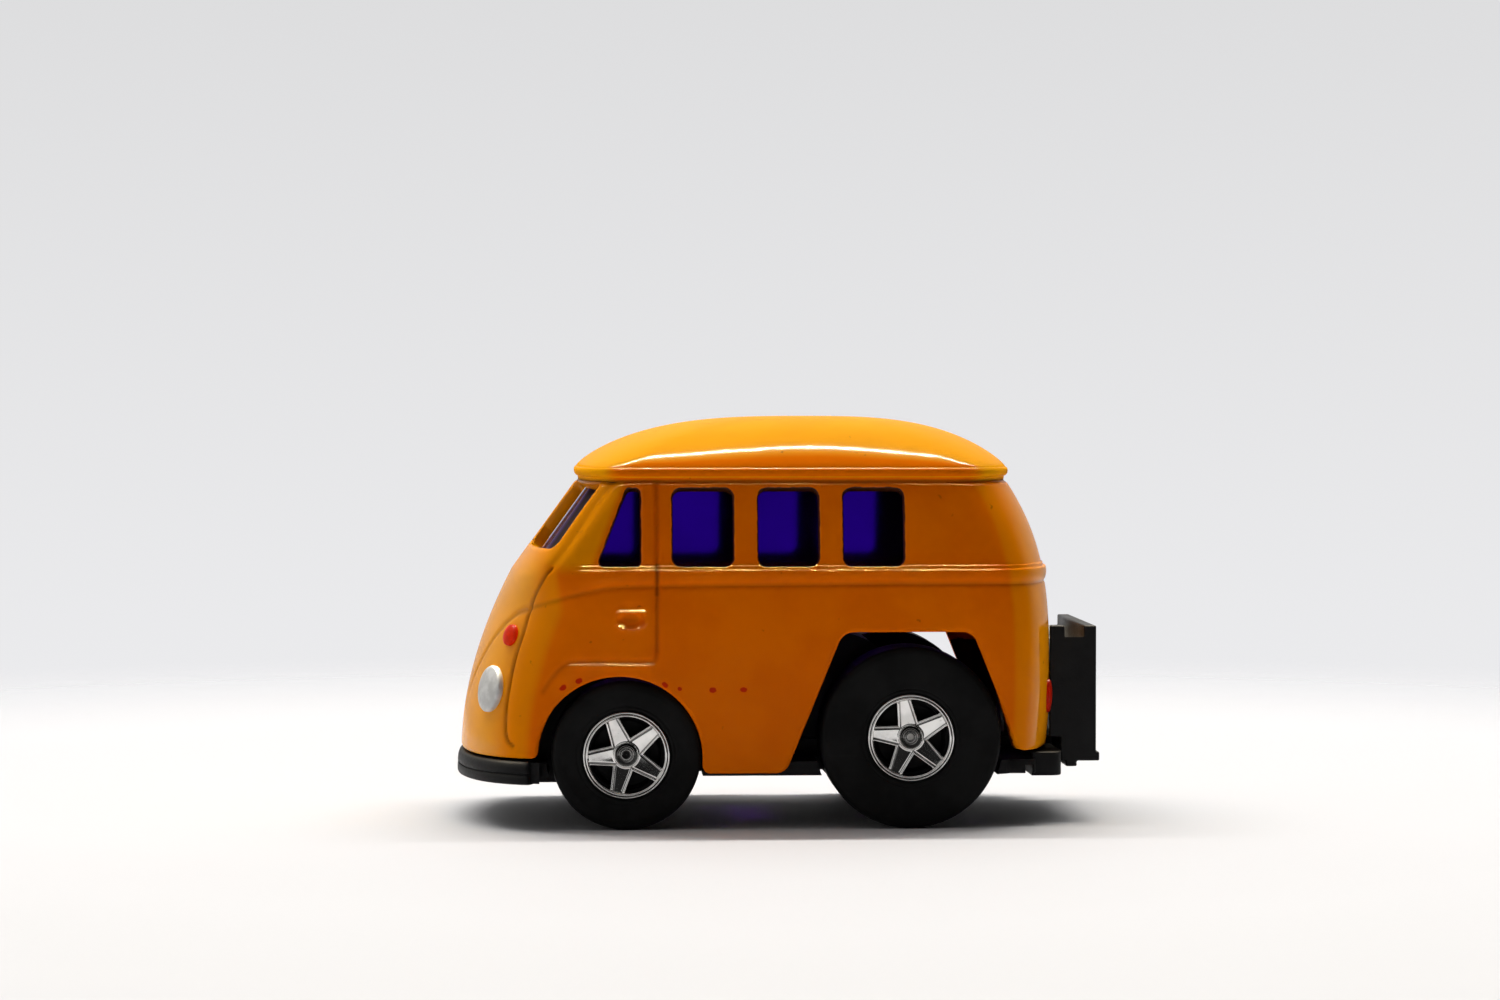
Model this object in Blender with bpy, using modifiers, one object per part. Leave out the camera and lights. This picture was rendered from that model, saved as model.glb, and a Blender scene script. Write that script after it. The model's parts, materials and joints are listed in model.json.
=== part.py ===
"""Pull-back toy van with a coin holder behind its tail.

Metres, +Z up, nose towards -X. The origin is on the ground, midway along the whole toy.
"""
import math

import bmesh
import bpy
from mathutils import Matrix
from mathutils import Vector

# Wheels and axles
FRONT_AXLE_X = -0.01100
WHEELBASE = 0.02020
FRONT_TYRE_R = 0.00530
REAR_TYRE_R = 0.00645
FRONT_TYRE_WIDTH = 0.0042
REAR_TYRE_WIDTH = 0.0050
TYRE_SHOULDER = 0.0006
WHEEL_INSET = 0.0005
CORE_R = 0.0033
CORE_DISH_R = 0.0025
CORE_DISH = 0.0009
CORE_SETBACK = 0.0008
CORE_BACKSET = 0.0006
TRIM_R = 0.00308
TRIM_RING = 0.00042
TRIM_THICKNESS = 0.0006
TRIM_HUB_R = 0.00115
TRIM_HOLE_R = 0.00055
SPOKES = 5
SPOKE_INNER_WIDTH = 0.0013
SPOKE_OUTER_WIDTH = 0.00075
FRONT_SPOKE_TURN = math.radians(112)
REAR_SPOKE_TURN = math.radians(101)
AXLE_R = 0.00045

# Body, seen from the side
NOSE_X = -0.02290
TAIL_X = 0.02010
BELT_NOSE_X = -0.01925
SCREEN_TOP_X = -0.01440
NOSE_BOTTOM_Z = 0.0051
SILL_Z = 0.00398
TAIL_BOTTOM_Z = 0.00545
TAIL_BULGE_Z = 0.0100
TAIL_TUCK = 0.00045
TAIL_LEAN = 0.00324
BELT_Z = 0.0180
GUTTER_Z = 0.0247
ROOF_Z = 0.02925
CROWN_X = 0.0024
NOSE_POWER = 1.85
TAIL_POWER = 3.13
ROOF_SQUARE = 3.0
ROOF_SOFT = 0.8
ROOF_OVAL = 2.0

# Body, seen from above and in section
HALF_WIDTH = 0.0126
SILL_TUCK = 0.0004
GUTTER_TUCK = 0.0013
SILL_HALF = HALF_WIDTH - SILL_TUCK
GUTTER_HALF = HALF_WIDTH - GUTTER_TUCK
WHEEL_FACE_Y = HALF_WIDTH - WHEEL_INSET
NOSE_ROUND = 0.0070
SCREEN_ROUND = 0.0046
TAIL_ROUND = 0.0055
NOSE_SQUARE = 2.3
SCREEN_SQUARE = 3.0
TAIL_SQUARE = 2.8
NOSE_BLEND_LOW_Z = 0.0150
NOSE_BLEND_HIGH_Z = 0.0195
BODY_WALL = 0.0009
BELT_HEIGHT = 0.0013
BELT_PROUD = 0.00022
BELT_FADE_X = -0.0160
BELT_FADE = 0.0050
GUTTER_PROUD = 0.00020
GUTTER_HEIGHT = 0.0007

# Wheel arches
FRONT_ARCH_GAP = 0.0006
FRONT_ARCH_LEAD = 0.0005
FRONT_ARCH_DROP = 0.0003
REAR_ARCH_TOP_GAP = 0.0011
REAR_ARCH_FRONT_GAP = 0.0009
REAR_ARCH_BACK_GAP = 0.00042
REAR_ARCH_LEAN = math.radians(22)
ARCH_CORNER = 0.0012
SILL_CORNER = 0.0015

# Windows
WINDOW_FRONT_X = -0.00771
WINDOW_WIDTH = 0.00425
WINDOW_PITCH = 0.00605
WINDOW_COUNT = 3
WINDOW_SILL_Z = 0.01870
WINDOW_TOP_Z = 0.02415
WINDOW_CORNER = 0.0006
QUARTER_REAR_X = -0.01004
QUARTER_SILL_LENGTH = 0.0030
QUARTER_TOP_LENGTH = 0.0009
QUARTER_CORNER = 0.00035
SCREEN_SILL_Z = 0.01995
SCREEN_TOP_Z = 0.02455
SCREEN_SILL_POST = 0.0013
SCREEN_TOP_POST = 0.0010
SCREEN_SILL_HALF = HALF_WIDTH - SCREEN_SILL_POST
SCREEN_TOP_HALF = GUTTER_HALF - SCREEN_TOP_POST
SCREEN_BAR = 0.0010
SCREEN_CORNER = 0.0005
BACK_WINDOW_SILL_Z = 0.0196
BACK_WINDOW_TOP_Z = 0.0236
BACK_WINDOW_HALF = 0.0056
INSERT_WALL = 0.0007
INSERT_SKIRT = 0.0008

# Lamps moulded on the body
HEADLAMP_INSET = 0.0035
HEADLAMP_Y = HALF_WIDTH - HEADLAMP_INSET
HEADLAMP_Z = 0.00984
HEADLAMP_R = 0.00167
HEADLAMP_DOME = 0.00050
INDICATOR_INSET = 0.0029
INDICATOR_Y = HALF_WIDTH - INDICATOR_INSET
INDICATOR_Z = 0.01368
INDICATOR_R = 0.00078
INDICATOR_DOME = 0.00042
TAIL_LAMP_INSET = 0.0046
TAIL_LAMP_Y = HALF_WIDTH - TAIL_LAMP_INSET
TAIL_LAMP_Z = 0.0091
TAIL_LAMP_HALF_WIDTH = 0.00068
TAIL_LAMP_HALF_HEIGHT = 0.0012
TAIL_LAMP_DOME = 0.00045

# Chassis
FLOOR_Z = 0.00372
FLOOR_THICKNESS = 0.0010
WELL_GAP = 0.0004
BUMPER_BOTTOM_Z = 0.0033
BUMPER_HEIGHT = 0.0015
BUMPER_PROUD = 0.00028
BUMPER_DEPTH = 0.0018
BUMPER_END_X = -0.0172
REAR_BUMPER_BOTTOM_Z = 0.0035
REAR_BUMPER_HEIGHT = 0.0017
REAR_BUMPER_PROUD = 0.0002
REAR_BUMPER_DEPTH = 0.0022
REAR_BUMPER_INSET = 0.0028
REAR_BUMPER_HALF = HALF_WIDTH - REAR_BUMPER_INSET
REAR_BUMPER_CORNER = 0.0008
REAR_GROOVE = 0.0005
REAR_GROOVE_DEPTH = 0.0006
SHELF_LENGTH = 0.0041
SHELF_INSET = 0.0024
SHELF_WIDTH = 0.0032
AXLE_LUG_Y = 0.0056
AXLE_LUG_LENGTH = 0.0024
AXLE_LUG_WIDTH = 0.0012
AXLE_LUG_ROOF = 0.0008
AXLE_BOX_BOTTOM_Z = 0.00295
AXLE_BOX_WALL = 0.0008
AXLE_BOX_GAP = 0.0006

# Screws and the posts they enter
FRONT_POST_X = -0.0192
REAR_POST_X = 0.0172
POST_R = 0.0015
FRONT_POST_TOP_Z = 0.0125
REAR_POST_TOP_Z = 0.0140
POST_WEB = 0.0010
SCREW_R = 0.00055
SCREW_HEAD_R = 0.0011
SCREW_HEAD = 0.0006
SCREW_LENGTH = 0.0050

# Coin holder
HOLDER_DEPTH = 0.0026
HOLDER_HALF = 0.0072
HOLDER_BOTTOM_Z = 0.0043
HOLDER_TOP_Z = 0.0141
COIN_SLOT = 0.0014
COIN_R = 0.01175
SLOT_END_DEPTH = 0.0008
CLAW_WIDTH = 0.0012
CLAW_FORWARD = 0.0004
CLAW_HEIGHT = 0.0030
REAR_PLATE = 0.0009
HOLDER_LIP = 0.00025
HOLDER_LIP_HEIGHT = 0.00065
HOLDER_FOOT_START = 0.0004
HOLDER_FOOT_LENGTH = 0.0008
HOLDER_FOOT_HEIGHT = 0.0004
TONGUE_HALF = 0.0030
TONGUE_THICKNESS = 0.0008

# Spring motor
MODULE = 0.00035
PRESSURE_ANGLE = math.radians(20)
ADDENDUM = 0.70
DEDENDUM = 1.15
BACKLASH = 0.16
PINION_TEETH = 10
IDLER_TEETH = 20
IDLER_PINION_TEETH = 10
BARREL_TEETH = 20
IDLER_RISE = math.radians(155)
BARREL_RISE = math.radians(173)
GEAR_WIDTH = 0.0014
PINION_WIDTH = 0.0018
GEAR_PLANE_Y = 0.0018
SPRING_PLANE_Y = -0.0004
BARREL_DRUM_R = 0.0034
BARREL_WALL = 0.0004
BARREL_DEPTH = 0.0026
SPRING_TURNS = 2.6
SPRING_STRIP = 0.00018
SPRING_INNER_R = 0.00095
PIN_R = 0.00045
CASE_HALF = 0.0046
CASE_WALL = 0.0007
CASE_LUG_LENGTH = 0.0050
CASE_LUG_WIDTH = 0.0011
CASE_LUG_HEIGHT = 0.0008

# Clearances
SEAT_GAP = 0.0003
RUN_GAP = 0.0001
TOOTH_GAP = 0.0004
TYRE_GAP = 0.0002
BUTT_GAP = 0.0002
OVERLAP = 0.0002

# Facets
RING_SIDE = 18
TURN_STEPS = 32
ROUND_STEPS = 12
ARC_STEPS = 5
LAMP_STEPS = 12

REAR_AXLE_X = FRONT_AXLE_X + WHEELBASE
FRONT_AXLE = Vector((FRONT_AXLE_X, 0, FRONT_TYRE_R))
REAR_AXLE = Vector((REAR_AXLE_X, 0, REAR_TYRE_R))
CUT = 0.05
LEFT = -1
RIGHT = 1

ALONG_Y = Matrix.Rotation(math.pi / 2, 4, "X")
ALONG_X = Matrix(((0, 0, 1, 0), (1, 0, 0, 0), (0, 1, 0, 0), (0, 0, 0, 1)))
ALONG_Z = Matrix.Identity(4)


# Scene and materials

def clear_scene():
    for item in list(bpy.data.objects):
        bpy.data.objects.remove(item, do_unlink=True)


def new_collection(name):
    group = bpy.data.collections.new(name)
    bpy.context.scene.collection.children.link(group)
    return group


def make_material(name, colour, roughness, metallic=0.0, alpha=1.0):
    material = bpy.data.materials.new(name)
    material.use_nodes = True
    shader = material.node_tree.nodes["Principled BSDF"]
    shader.inputs["Base Color"].default_value = (*colour, 1.0)
    shader.inputs["Roughness"].default_value = roughness
    shader.inputs["Metallic"].default_value = metallic
    shader.inputs["Alpha"].default_value = alpha
    return material


def add_object(name, mesh, material, parent=None):
    item = bpy.data.objects.new(name, mesh)
    PARTS.objects.link(item)
    mesh.materials.clear()
    mesh.materials.append(material)
    if parent is not None:
        item.parent = parent
    return item


def add_joint(name, place):
    """An empty on a joint's axis, which the pieces that turn there are parented to."""
    empty = bpy.data.objects.new(name, None)
    empty.location = place
    PARTS.objects.link(empty)
    return empty


def smooth(mesh, degrees=35):
    mesh.shade_smooth()
    mesh.set_sharp_from_angle(angle=math.radians(degrees))


# Mesh helpers

def mesh_from_bmesh(name, shape):
    mesh = bpy.data.meshes.new(name)
    shape.to_mesh(mesh)
    shape.free()
    return mesh


def cylinder_mesh(name, radius, length, place, turn=ALONG_Y, steps=ROUND_STEPS):
    """A solid cylinder, centred on a place, along the axis that turn gives."""
    shape = bmesh.new()
    bmesh.ops.create_cone(shape, cap_ends=True, segments=steps, radius1=radius, radius2=radius,
                          depth=length, matrix=Matrix.Translation(place) @ turn)
    return mesh_from_bmesh(name, shape)


def box_mesh(name, low, high):
    """A box between two corners."""
    low = Vector(low)
    high = Vector(high)
    size = high - low
    scale = Matrix.Diagonal((size.x, size.y, size.z, 1))
    shape = bmesh.new()
    bmesh.ops.create_cube(shape, size=1.0, matrix=Matrix.Translation((low + high) / 2) @ scale)
    return mesh_from_bmesh(name, shape)


def outline_mesh(name, outlines, depth, matrix):
    """Flat closed outlines filled as a 2D curve, thickened evenly both ways and placed."""
    curve = bpy.data.curves.new(name, "CURVE")
    curve.dimensions = "2D"
    curve.fill_mode = "BOTH"
    curve.extrude = depth / 2
    for outline in outlines:
        spline = curve.splines.new("POLY")
        spline.points.add(len(outline) - 1)
        for point, (x, y) in zip(spline.points, outline):
            point.co = (x, y, 0, 1)
        spline.use_cyclic_u = True
    holder = bpy.data.objects.new(name, curve)
    bpy.context.scene.collection.objects.link(holder)
    bpy.context.view_layer.update()
    evaluated = holder.evaluated_get(bpy.context.evaluated_depsgraph_get())
    mesh = bpy.data.meshes.new_from_object(evaluated)
    bpy.data.objects.remove(holder, do_unlink=True)
    shape = bmesh.new()
    shape.from_mesh(mesh)
    bpy.data.meshes.remove(mesh)
    bmesh.ops.remove_doubles(shape, verts=shape.verts, dist=1e-6)
    bmesh.ops.transform(shape, matrix=matrix, verts=shape.verts)
    bmesh.ops.recalc_face_normals(shape, faces=shape.faces)
    return mesh_from_bmesh(name, shape)


def turned_object(name, profile, material, parent, place, side, steps=TURN_STEPS):
    """A closed profile of (radius, outward) points, turned about an axle; outward is away from the middle."""
    shape = bmesh.new()
    verts = [shape.verts.new((radius, 0, outward)) for radius, outward in profile]
    for here, there in zip(verts, verts[1:] + verts[:1]):
        shape.edges.new((here, there))
    item = add_object(name, mesh_from_bmesh(name, shape), material, parent)
    item.location = place
    item.rotation_euler = (-side * math.pi / 2, 0, 0)
    screw = item.modifiers.new("turn", "SCREW")
    screw.axis = "Z"
    screw.steps = steps
    screw.render_steps = steps
    screw.use_merge_vertices = True
    screw.merge_threshold = 1e-6
    screw.use_smooth_shade = True
    return item


def ring_solid(name, rings, tips):
    """Closed solid through rings of equal count; a tip point closes each end, or None joins the ends."""
    shape = bmesh.new()
    loops = [[shape.verts.new(point) for point in ring] for ring in rings]
    count = len(rings[0])
    for below, above in zip(loops, loops[1:]):
        for i in range(count):
            j = (i + 1) % count
            shape.faces.new((below[i], below[j], above[j], above[i]))
    for loop, tip in zip((loops[0], loops[-1]), tips):
        centre = shape.verts.new(tip)
        for i in range(count):
            shape.faces.new((loop[i], loop[(i + 1) % count], centre))
    bmesh.ops.recalc_face_normals(shape, faces=shape.faces)
    return mesh_from_bmesh(name, shape)


def use_boolean(item, mesh, operation, label):
    """Cut a tool mesh from an item, or join it on, with a live Boolean."""
    tool = bpy.data.objects.new(item.name + "_" + label, mesh)
    CUTTERS.objects.link(tool)
    tool.hide_render = True
    tool.display_type = "WIRE"
    if item.parent is not None:
        tool.location = item.parent.location
    modifier = item.modifiers.new(label, "BOOLEAN")
    modifier.operation = operation
    modifier.solver = "EXACT"
    modifier.object = tool


def cut(item, mesh, label):
    use_boolean(item, mesh, "DIFFERENCE", label)


def join(item, mesh, label):
    use_boolean(item, mesh, "UNION", label)


# Flat outlines

def rounded(corners, steps=ARC_STEPS):
    """A polygon of (x, y, radius) corners with each corner turned into an arc of that radius."""
    outline = []
    count = len(corners)
    for i, (x, y, radius) in enumerate(corners):
        here = Vector((x, y))
        before = (Vector(corners[i - 1][:2]) - here).normalized()
        after = (Vector(corners[(i + 1) % count][:2]) - here).normalized()
        if radius <= 0:
            outline.append((x, y))
            continue
        half = before.angle(after) / 2
        reach = radius / math.tan(half)
        centre = here + (before + after).normalized() * radius / math.sin(half)
        start = here + before * reach - centre
        sweep = start.angle_signed(here + after * reach - centre)
        for step in range(steps + 1):
            arm = start.copy()
            arm.rotate(Matrix.Rotation(-sweep * step / steps, 2))
            outline.append(tuple(centre + arm))
    return outline


def circle(x, y, radius, steps=ROUND_STEPS):
    angles = [2 * math.pi * i / steps for i in range(steps)]
    return [(x + radius * math.cos(a), y + radius * math.sin(a)) for a in angles]


def wrap(circles, steps=ROUND_STEPS * 2):
    """The outline of a belt pulled tight round circles of (x, y, radius)."""
    points = sorted(p for x, y, radius in circles for p in circle(x, y, radius, steps))
    belt = []
    for run in (points, points[::-1]):
        chain = []
        for point in run:
            while len(chain) > 1 and turn_of(chain[-2], chain[-1], point) <= 0:
                chain.pop()
            chain.append(point)
        belt += chain[:-1]
    return belt


def turn_of(a, b, c):
    return (b[0] - a[0]) * (c[1] - a[1]) - (b[1] - a[1]) * (c[0] - a[0])


def gear_outline(teeth, turn, flank_steps=2):
    """Involute teeth round the origin; turn is the direction of the first tooth."""
    pitch = MODULE * teeth / 2
    base = pitch * math.cos(PRESSURE_ANGLE)
    tip = pitch + ADDENDUM * MODULE
    root = pitch - DEDENDUM * MODULE
    start = max(base, root)
    half_tooth = math.pi / (2 * teeth) - BACKLASH * MODULE / (2 * pitch)
    at_pitch = math.tan(PRESSURE_ANGLE) - PRESSURE_ANGLE
    flank = [(root, half_tooth + at_pitch)] if root < base else []
    for i in range(flank_steps):
        radius = start + (tip - start) * i / (flank_steps - 1)
        lean = math.acos(min(1.0, base / radius))
        flank.append((radius, half_tooth + at_pitch - math.tan(lean) + lean))
    tooth = [(r, -a) for r, a in flank] + [(r, a) for r, a in reversed(flank)]
    outline = []
    for i in range(teeth):
        middle = turn + 2 * math.pi * i / teeth
        outline += [(r * math.cos(middle + a), r * math.sin(middle + a)) for r, a in tooth]
    return outline


# The body's form, as functions of height

def blend(z):
    share = (z - NOSE_BLEND_LOW_Z) / (NOSE_BLEND_HIGH_Z - NOSE_BLEND_LOW_Z)
    share = min(1.0, max(0.0, share))
    return share * share * (3 - 2 * share)


def nose_x(z):
    """A curved nose up to the belt, then a straight raked screen."""
    if z > BELT_Z:
        return BELT_NOSE_X + (SCREEN_TOP_X - BELT_NOSE_X) * (z - BELT_Z) / (GUTTER_Z - BELT_Z)
    rise = max(0.0, (z - NOSE_BOTTOM_Z) / (BELT_Z - NOSE_BOTTOM_Z))
    return NOSE_X + (BELT_NOSE_X - NOSE_X) * rise ** NOSE_POWER


def tail_x(z):
    """Fullest at the bulge, tucked in a little below it and leaning in above it."""
    if z < TAIL_BULGE_Z:
        return TAIL_X - TAIL_TUCK * ((TAIL_BULGE_Z - z) / (TAIL_BULGE_Z - SILL_Z)) ** 2
    return TAIL_X - TAIL_LEAN * ((z - TAIL_BULGE_Z) / (GUTTER_Z - TAIL_BULGE_Z)) ** TAIL_POWER


def half_width(z):
    if z < BELT_Z:
        return HALF_WIDTH - (HALF_WIDTH - SILL_HALF) * ((BELT_Z - z) / (BELT_Z - SILL_Z)) ** 2
    return HALF_WIDTH - (HALF_WIDTH - GUTTER_HALF) * ((z - BELT_Z) / (GUTTER_Z - BELT_Z)) ** 1.5


def nose_plan(z, inset=0.0):
    """The nose in plan: where it ends, how long and wide its rounding is, and how square."""
    length = NOSE_ROUND + (SCREEN_ROUND - NOSE_ROUND) * blend(z)
    square = NOSE_SQUARE + (SCREEN_SQUARE - NOSE_SQUARE) * blend(z)
    return nose_x(z) + length, length - inset, half_width(z) - inset, square


def tail_plan(z, inset=0.0):
    return tail_x(z) - TAIL_ROUND, TAIL_ROUND - inset, half_width(z) - inset, TAIL_SQUARE


def plan_arc(plan, way, angles):
    """Points on a superellipse end; way is -1 for the nose and 1 for the tail."""
    middle, length, half, square = plan
    power = 2 / square
    points = []
    for angle in angles:
        across = math.copysign(abs(math.sin(angle)) ** power, math.sin(angle))
        points.append((middle + way * length * abs(math.cos(angle)) ** power, half * across))
    return points


def spread(start, end, count):
    return [start + (end - start) * i / count for i in range(count + 1)]


def plan_ring(z, inset=0.0):
    """The body's outline at a height: nose, left side, tail, right side."""
    quarter = math.pi / 2
    nose = plan_arc(nose_plan(z, inset), -1, spread(quarter, -quarter, RING_SIDE))
    tail = plan_arc(tail_plan(z, inset), 1, spread(-quarter, quarter, RING_SIDE))
    return nose + tail


def belt_ring(z):
    """The body's outline standing proud as the belt, which fades away round the nose."""
    points = []
    for (x, y), (out_x, out_y) in zip(plan_ring(z), plan_ring(z, -BELT_PROUD)):
        share = min(1.0, max(0.0, (x - BELT_FADE_X) / BELT_FADE + 1))
        points.append((x + (out_x - x) * share, y + (out_y - y) * share))
    return points


def at_height(ring, z):
    return [(x, y, z) for x, y in ring]


def scaled_ring(ring, share):
    """An outline drawn in towards the crown, which turns from its own shape to an oval on the way."""
    front = CROWN_X - min(x for x, y in ring)
    back = max(x for x, y in ring) - CROWN_X
    half = max(y for x, y in ring)
    keep = share ** ROOF_OVAL
    points = []
    for x, y in ring:
        along = x - CROWN_X
        reach = math.hypot(along / (back if along > 0 else front), y / half)
        scale = share * (keep + (1 - keep) / reach)
        points.append((CROWN_X + along * scale, y * scale))
    return points


def dome_rings(ring, base_z, top_z, rises):
    """Rings of a dome over an outline, drawn in by the cosine of each angle; it meets its edge at a slope."""
    rings = []
    for rise in rises:
        share = math.cos(rise)
        z = base_z + (top_z - base_z) * (1 - share ** ROOF_SQUARE) ** ROOF_SOFT
        rings.append(at_height(scaled_ring(ring, share), z))
    return rings


def surface_place(y, z, way):
    """A point on the nose or tail at a width and height, with its outward direction in plan."""
    middle, length, half, square = nose_plan(z) if way < 0 else tail_plan(z)
    across = abs(y) / half
    along = (1 - across ** square) ** (1 / square)
    place = Vector((middle + way * length * along, y, z))
    normal = Vector((way * along ** (square - 1) / length,
                     math.copysign(across ** (square - 1), y) / half, 0))
    return place, normal.normalized()


# The body shell and what is behind its openings

def body_mesh():
    rib_low = BELT_Z - BELT_HEIGHT / 2
    rib_high = BELT_Z + BELT_HEIGHT / 2
    step = BELT_PROUD / 2
    lip_top = GUTTER_Z + GUTTER_HEIGHT
    outer = [at_height(plan_ring(z), z) for z in spread(SILL_Z, rib_low, 5)]
    outer.append(at_height(belt_ring(rib_low + step), rib_low + step))
    outer.append(at_height(belt_ring(rib_high - step), rib_high - step))
    outer += [at_height(plan_ring(z), z) for z in spread(rib_high, GUTTER_Z, 3)]
    lip = plan_ring(GUTTER_Z, -GUTTER_PROUD)
    outer.append(at_height(lip, GUTTER_Z + step))
    outer += dome_rings(lip, lip_top, ROOF_Z, [math.radians(a) for a in (0, 14, 28, 42, 56, 70, 82)])
    inner = [at_height(plan_ring(z, BODY_WALL), z) for z in spread(SILL_Z, GUTTER_Z, 6)]
    ceiling = plan_ring(GUTTER_Z, BODY_WALL)
    inner += dome_rings(ceiling, GUTTER_Z, ROOF_Z - BODY_WALL, [math.radians(a) for a in (20, 40, 60, 78)])
    tips = (Vector((CROWN_X, 0, ROOF_Z - BODY_WALL)), Vector((CROWN_X, 0, ROOF_Z)))
    return ring_solid("body_shell", inner[::-1] + outer, tips)


def arch_leg_x(z, way):
    """Where a leg of the rear arch is at a height; it leans outwards and clears the tyre."""
    gap = REAR_ARCH_FRONT_GAP if way < 0 else REAR_ARCH_BACK_GAP
    reach = REAR_TYRE_R + gap - math.sin(REAR_ARCH_LEAN) * (z - REAR_TYRE_R)
    return REAR_AXLE_X + way * reach / math.cos(REAR_ARCH_LEAN)


def underside_mesh():
    """All that lies below the body's lower edge: nose, front arch, sill, rear arch and tail."""
    arch_r = FRONT_TYRE_R + FRONT_ARCH_GAP
    arch_x = FRONT_AXLE_X - FRONT_ARCH_LEAD
    arch_z = FRONT_TYRE_R - FRONT_ARCH_DROP
    start = math.asin((NOSE_BOTTOM_Z - arch_z) / arch_r)
    arch = [(arch_x - arch_r * math.cos(a), arch_z + arch_r * math.sin(a))
            for a in spread(start, math.pi, 18)]
    top = 2 * REAR_TYRE_R + REAR_ARCH_TOP_GAP
    corners = [(-CUT, -CUT, 0), (-CUT, NOSE_BOTTOM_Z, 0)]
    corners += [(x, z, 0) for x, z in arch]
    corners += [(arch_x + arch_r + SILL_CORNER, SILL_Z - OVERLAP, 0),
                (arch_leg_x(SILL_Z - OVERLAP, -1), SILL_Z - OVERLAP, 0),
                (arch_leg_x(top, -1), top, ARCH_CORNER),
                (arch_leg_x(top, 1), top, ARCH_CORNER),
                (arch_leg_x(TAIL_BOTTOM_Z, 1), TAIL_BOTTOM_Z, 0),
                (CUT, TAIL_BOTTOM_Z, 0), (CUT, -CUT, 0)]
    return outline_mesh("underside", [rounded(corners)], 2 * CUT, ALONG_Y)


def side_window_outlines():
    windows = []
    for i in range(WINDOW_COUNT):
        front = WINDOW_FRONT_X + i * WINDOW_PITCH
        back = front + WINDOW_WIDTH
        windows.append(rounded([(front, WINDOW_SILL_Z, WINDOW_CORNER), (back, WINDOW_SILL_Z, WINDOW_CORNER),
                                (back, WINDOW_TOP_Z, WINDOW_CORNER), (front, WINDOW_TOP_Z, WINDOW_CORNER)]))
    rear = QUARTER_REAR_X
    windows.append(rounded([(rear - QUARTER_SILL_LENGTH, WINDOW_SILL_Z, QUARTER_CORNER),
                            (rear, WINDOW_SILL_Z, QUARTER_CORNER), (rear, WINDOW_TOP_Z, QUARTER_CORNER),
                            (rear - QUARTER_TOP_LENGTH, WINDOW_TOP_Z, QUARTER_CORNER)]))
    return windows


def pane_outline(low, high):
    inner = SCREEN_BAR / 2
    return rounded([(inner, low, SCREEN_CORNER), (SCREEN_SILL_HALF, low, SCREEN_CORNER),
                    (SCREEN_TOP_HALF, high, SCREEN_CORNER), (inner, high, SCREEN_CORNER)])


def end_window_mesh(outlines, x):
    """A tool for windows seen from the front or back, reaching from the ends to a place along X."""
    middle = Matrix.Translation((x + math.copysign(CUT / 2, x), 0, 0))
    return outline_mesh("end_windows", outlines, CUT, middle @ ALONG_X)


def lamp_mesh(y, z, way, half_width_of_lamp, half_height, dome):
    """A domed lamp: a flattened ball, half sunk in the body."""
    place, normal = surface_place(y, z, way)
    turn = Matrix.Rotation(math.atan2(normal.y, normal.x), 4, "Z")
    size = Matrix.Diagonal((dome, half_width_of_lamp, half_height, 1))
    shape = bmesh.new()
    bmesh.ops.create_uvsphere(shape, u_segments=LAMP_STEPS, v_segments=LAMP_STEPS // 2, radius=1.0,
                              matrix=Matrix.Translation(place) @ turn @ size)
    return mesh_from_bmesh("lamp", shape)


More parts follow.
